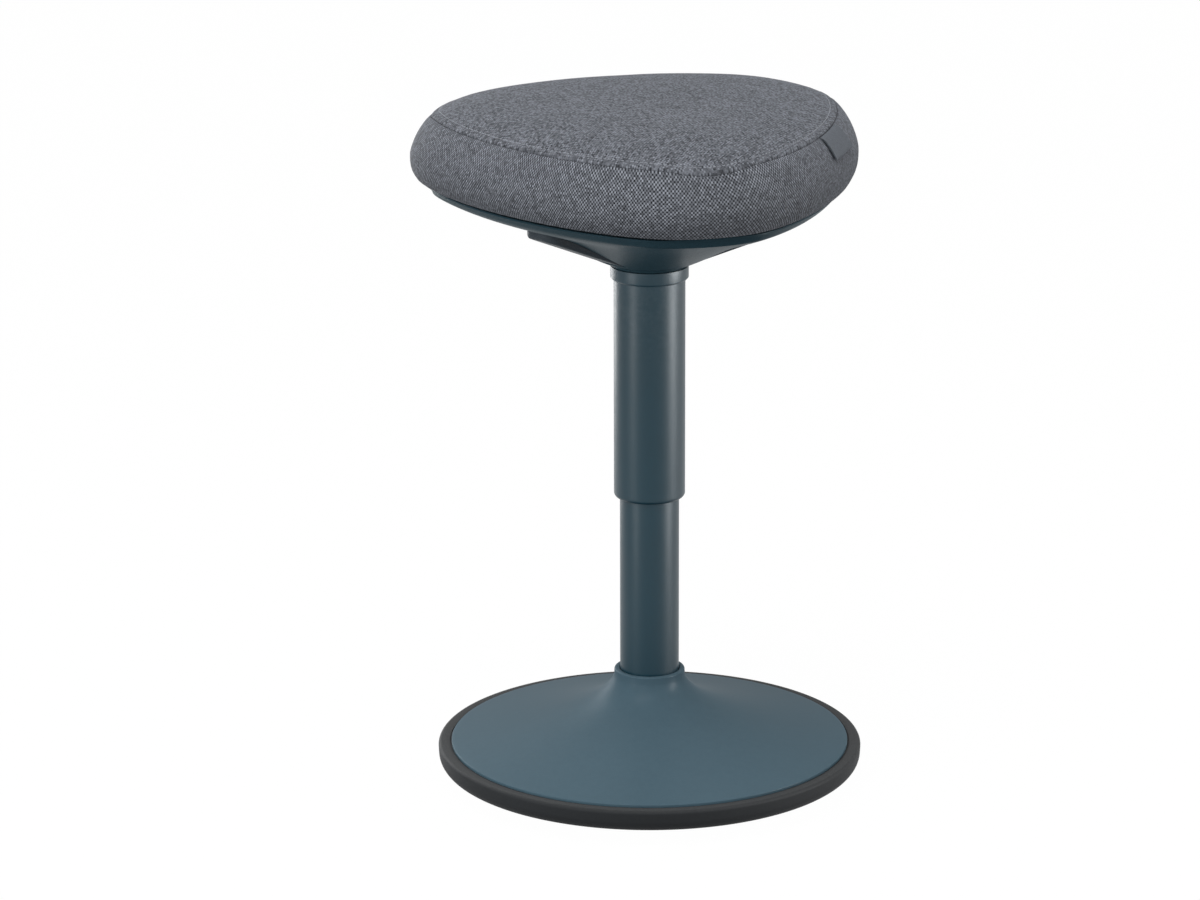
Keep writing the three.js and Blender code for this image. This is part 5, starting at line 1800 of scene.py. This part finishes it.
    def _skin(self, wardrobe: Wardrobe) -> bpy.types.Object:
        """The closed cushion: sewn skin above, turned-in cover and a recess for the board below.

        Args:
            wardrobe: The materials.

        Returns:
            The piece.
        """
        rows = self._skin_points()
        angles = self._angles()
        below = [(0.7, self.foot - 0.8), (self.cover_skin * 1.4, self.wrap), (self.turn_in, self.wrap), (self.turn_in, self.board_bottom),
                 (self.cover_skin, self.board_bottom), (self.cover_skin, self.board_top)]
        under = [[self.outline.point(a, self.foot_share, inset, height) for a in angles] for inset, height in below]
        core = [self.outline.point(a, 0.05, 0.0, self.board_top) for a in angles]
        rows = [core, *reversed(under), *rows]
        sides = self.sides
        points = [point for row in rows for point in row]
        faces, kinds = [], []
        seam_row = len(under) + 1 + self._ways().index(self.seam_arc)
        for i in range(len(rows) - 1):
            for j in range(sides):
                k = (j + 1) % sides
                faces.append((i * sides + j, i * sides + k, (i + 1) * sides + k, (i + 1) * sides + j))
                kinds.append(0 if i >= seam_row else 1)
        for row, height in ((0, self.board_top), (len(rows) - 1, None)):
            middle = sum((rows[row][j] for j in range(sides)), Vector()) / sides
            points.append(middle if height else middle + Vector((0, 0, 0.02)))
            for j in range(sides):
                k = (j + 1) % sides
                faces.append((row * sides + j, row * sides + k, len(points) - 1))
                kinds.append(1 if height else 0)
        solid = Solid(points, faces)
        solid.thing.data.polygons.foreach_set("material_index", kinds)
        piece = place(solid, "seat_cushion", Body.SEAT, Slot.FABRIC, wardrobe, ["seat_foam", "cover_top", "cover_band"], sharp=60.0)
        piece.data.materials.append(wardrobe.side_cloth)
        return piece

    def _stitches(self, skin: BVHTree, off: float, pitch: float, length: float, radius: float) -> Solid:
        """A row of stitches along the seam.

        Args:
            skin: The finished skin.
            off: Distance of the row above the seam.
            pitch: From one stitch to the next.
            length: Length of a stitch.
            radius: Radius of the thread.

        Returns:
            The stitches as one solid.
        """
        fine = [self.outline.nose + TURN * i / 1800 for i in range(1801)]
        line = [self._point(angle, self._dropped(self.seam_arc + off, angle)) for angle in fine]
        ways = [0.0]
        for before, after in zip(line, line[1:]):
            ways.append(ways[-1] + (after - before).length)
        count = round(ways[-1] / pitch)
        points, faces, sides = [], [], 6
        thickness = (0.35, 0.85, 1.0, 1.0, 0.85, 0.35)
        for i in range(count):
            spine = []
            for s in range(len(thickness)):
                way = ways[-1] * i / count + length * s / (len(thickness) - 1)
                at = min(max(bisect.bisect_left(ways, way % ways[-1]), 1), len(ways) - 1)
                angle = mixed(fine[at - 1], fine[at], (way % ways[-1] - ways[at - 1]) / (ways[at] - ways[at - 1]))
                level = self._dropped(self.seam_arc + off, angle)
                out = self._outward(angle, level)
                start = self._point(angle, level) + out * 10
                hit = skin.ray_cast(start, -out, 20)
                lift = radius * (0.55 if 0 < s < len(thickness) - 1 else -0.5)
                spine.append(((hit[0] if hit[0] else start - out * 10) + out * lift, out))
            along = (spine[-1][0] - spine[0][0]).normalized()
            first = len(points)
            for (middle, out), share in zip(spine, thickness):
                across = along.cross(out).normalized()
                up = across.cross(along)
                for j in range(sides):
                    turn = TURN * j / sides
                    points.append(middle + (across * math.cos(turn) + up * math.sin(turn)) * radius * share)
            for s in range(len(thickness) - 1):
                for j in range(sides):
                    k = (j + 1) % sides
                    low, high = first + s * sides, first + (s + 1) * sides
                    faces.append((low + j, low + k, high + k, high + j))
            faces.append(tuple(first + j for j in range(sides)))
            faces.append(tuple(len(points) - sides + j for j in range(sides)))
        return Solid(points, faces)

    def _tab(self, skin: BVHTree) -> Solid:
        """The bare tab: tape folded in two, sewn in at the seam and standing off a little at its foot.

        Args:
            skin: The finished skin.

        Returns:
            The solid.
        """
        centre, width, length, ply, gap, fold = self.outline.lever_angles()[0], 50.0, 22.6, 0.45, 0.35, 0.62
        steps, rows = 28, 14
        profile: list[tuple[float, float]] = [(length * i / rows, 2 * ply + gap) for i in range(rows + 1)]
        profile += [(length + fold * math.sin(math.radians(a)), fold * (1 + math.cos(math.radians(a)))) for a in (30, 60, 90, 120, 150)]
        profile += [(length * (rows - i) / rows, 0.0) for i in range(rows + 1)]
        profile += [(length * i / rows, ply) for i in range(rows + 1)]
        profile += [(length * (rows - i) / rows, ply + gap) for i in range(rows + 1)]
        bend = self.outline.mean_radius + 8 * self.outline.lobe + 35 * self.outline.lobe_trim
        span = width / (self.shoulder_share * bend)
        slices = []
        for i in range(steps + 1):
            across = i / steps - 0.5
            angle = centre + span * across
            points = []
            for down, off in profile:
                level = self._dropped(self.seam_arc - 0.6 - down, angle)
                out = self._outward(angle, level)
                start = self._point(angle, level) + out * 10
                hit = skin.ray_cast(start, -out, 20)
                ground = hit[0] if hit[0] else start - out * 10
                curl = 0.25 + 0.9 * (down / length) ** 2 + 14.0 * across**4 * min(down / 6, 1.0) - 0.5 * math.exp(-down / 1.5)
                points.append(ground + out * (off + curl))
            slices.append(points)
        return Solid.loft(slices)

    def build(self, wardrobe: Wardrobe) -> None:
        """Builds and dresses the cushion.

        Args:
            wardrobe: The materials.
        """
        self._swell()
        cushion = self._skin(wardrobe)
        mesh = cushion.data
        skin = BVHTree.FromPolygons([v.co / MM for v in mesh.vertices], [p.vertices[:] for p in mesh.polygons])
        topstitch = self._stitches(skin, self.stitch_row, 4.0, 2.9, 0.38)
        piece = place(topstitch, "cover_topstitch", Body.SEAT, Slot.FABRIC, wardrobe)
        piece.data.materials[0] = wardrobe.light_thread
        seam = self._stitches(skin, 0.0, 3.6, 2.6, 0.34)
        piece = place(seam, "cover_seam_thread", Body.SEAT, Slot.FABRIC, wardrobe)
        piece.data.materials[0] = wardrobe.dark_thread
        place(self._tab(skin), "bare_side_tab", Body.SEAT, Slot.LABEL_CLOTH, wardrobe, ["label_tab"], sharp=50.0)


class InnerWorks:
    """Pieces of the frame that stay as they are and only get their finish."""

    @staticmethod
    def dress(frame: dict, wardrobe: Wardrobe) -> None:
        """Gives every node of the frame the finish of its slot.

        Args:
            frame: The loaded frame.
            wardrobe: The materials.
        """
        for row in frame["record"]["subparts"]:
            node = frame["nodes"][row["node"]]
            node.data.materials.clear()
            node.data.materials.append(wardrobe.slots[Slot(row["material_slot"])])
        log.info("dressed %d nodes of the frame", len(frame["nodes"]))


@dataclass
class Studio:
    """Pale floor, even sky, soft lamps and the camera."""

    floor_size: float = 40.0
    sky: float = 0.34
    paper: float = 0.16
    glow: float = 1.1
    camera_at: tuple[float, float, float] = (-1.0621, -3.9638, 1.4992)
    camera_turn: tuple[float, float, float] = (73.56, 0.0, -15.0)
    lens: float = 152.58
    shift: float = -0.04125

    def _seen(self, graph: Graph) -> bpy.types.NodeSocket:
        """1 where the camera sees a surface, straight, mirrored or through glass."""
        rays = graph.add("ShaderNodeLightPath").outputs
        seen = graph.math("MAXIMUM", rays["Is Camera Ray"], rays["Is Glossy Ray"])
        return graph.math("MAXIMUM", seen, rays["Is Transmission Ray"])

    def _floor(self) -> None:
        """Lays the floor."""
        half = self.floor_size / 2
        mesh = bpy.data.meshes.new("studio_floor")
        mesh.from_pydata([(-half, -half, 0), (half, -half, 0), (half, half, 0), (-half, half, 0)], [], [(0, 1, 2, 3)])
        floor = bpy.data.objects.new("studio_floor", mesh)
        bpy.context.scene.collection.objects.link(floor)
        material = bpy.data.materials.new("pale floor")
        material.use_nodes = True
        graph = Graph(material.node_tree)
        material.node_tree.nodes.remove(material.node_tree.nodes["Principled BSDF"])
        tones = [tuple([self.paper + step] * 3) for step in (-0.01, 0.01)]
        paper = graph.mix(graph.noise(graph.place(), 40.0, 3.0), *tones)
        diffuse = graph.add("ShaderNodeBsdfDiffuse", None, Color=paper).outputs[0]
        glow = graph.add("ShaderNodeEmission", None, Color=(1.0, 1.0, 1.0), Strength=self.glow).outputs[0]
        share = graph.math("MULTIPLY", self._seen(graph), 0.9)
        both = graph.add("ShaderNodeMixShader")
        graph.feed(both.inputs[0], share)
        graph.feed(both.inputs[1], diffuse)
        graph.feed(both.inputs[2], glow)
        graph.feed(material.node_tree.nodes["Material Output"].inputs["Surface"], both.outputs[0])
        floor.data.materials.append(material)

    def _world(self) -> None:
        """Sets the sky: white to the eye, softer as a light."""
        world = bpy.data.worlds.new("even sky")
        world.use_nodes = True
        graph = Graph(world.node_tree)
        background = world.node_tree.nodes["Background"]
        graph.feed(background.inputs["Color"], (1.0, 1.0, 1.0))
        graph.feed(background.inputs["Strength"], graph.between(self._seen(graph), 0.0, 1.0, self.sky, 1.0))
        bpy.context.scene.world = world

    @staticmethod
    def _lamp(name: str, at: Sequence[float], towards: Sequence[float], size: tuple[float, float], power: float, sheen: bool = False) -> None:
        """Hangs a soft lamp.

        Args:
            name: Name of the lamp.
            at: Its place.
            towards: What it shines at.
            size: Width and height of its face.
            power: Its power in watts.
            sheen: Shows in highlights alone.
        """
        light = bpy.data.lights.new(name, "AREA")
        light.shape = "RECTANGLE"
        light.size, light.size_y = size
        light.energy = power
        lamp = bpy.data.objects.new(name, light)
        lamp.location = at
        lamp.rotation_euler = (Vector(towards) - Vector(at)).to_track_quat("-Z", "Y").to_euler()
        lamp.visible_diffuse = not sheen
        bpy.context.scene.collection.objects.link(lamp)

    def _camera(self) -> None:
        """Sets the camera at the picture's angle."""
        camera = bpy.data.objects.new("camera", bpy.data.cameras.new("camera"))
        camera.location = self.camera_at
        camera.rotation_euler = [math.radians(angle) for angle in self.camera_turn]
        camera.data.sensor_width = 36.0
        camera.data.lens = self.lens
        camera.data.shift_x = self.shift
        camera.data.clip_end = 100.0
        bpy.context.scene.collection.objects.link(camera)
        bpy.context.scene.camera = camera

    def build(self) -> None:
        """Builds floor, sky, lamps and camera."""
        self._floor()
        self._world()
        self._lamp("top lamp", (-0.7, -0.75, 2.5), (0.0, 0.0, 0.3), (1.3, 1.3), 25.0)
        self._lamp("front left lamp", (-1.3, -1.6, 1.0), (0.0, 0.0, 0.3), (0.9, 0.9), 7.4)
        self._lamp("right lamp", (1.6, -0.6, 0.6), (0.0, 0.0, 0.5), (0.5, 0.5), 5.0)
        self._lamp("low left lamp", (-1.1, -0.45, 0.16), (0.0, 0.0, 0.47), (0.3, 0.5), 2.4)
        self._lamp("left sheen", (-1.2, -0.5, 0.45), (0.0, 0.0, 0.3), (0.2, 1.2), 3.0, sheen=True)
        self._lamp("right sheen", (1.2, -0.6, 0.45), (0.0, 0.0, 0.3), (0.45, 1.2), 30.0, sheen=True)
        self._lamp("back left sheen", (-0.5, 1.1, 0.5), (0.0, 0.0, 0.3), (0.5, 1.2), 10.0, sheen=True)
        self._camera()
        bpy.context.scene.view_settings.view_transform = "Standard"


def main() -> None:
    """Loads the frame and builds the stool in order."""
    logging.basicConfig(level=logging.INFO, format="%(name)s: %(message)s")
    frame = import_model()
    wardrobe = Wardrobe()
    outline = SeatOutline()
    InnerWorks.dress(frame, wardrobe)
    RockingBase().build(wardrobe)
    Column().build(wardrobe)
    SeatPan(outline).build(wardrobe)
    Levers(outline).build(wardrobe)
    Cushion(outline).build(wardrobe)
    Studio().build()


if __name__ == "__main__":
    main()
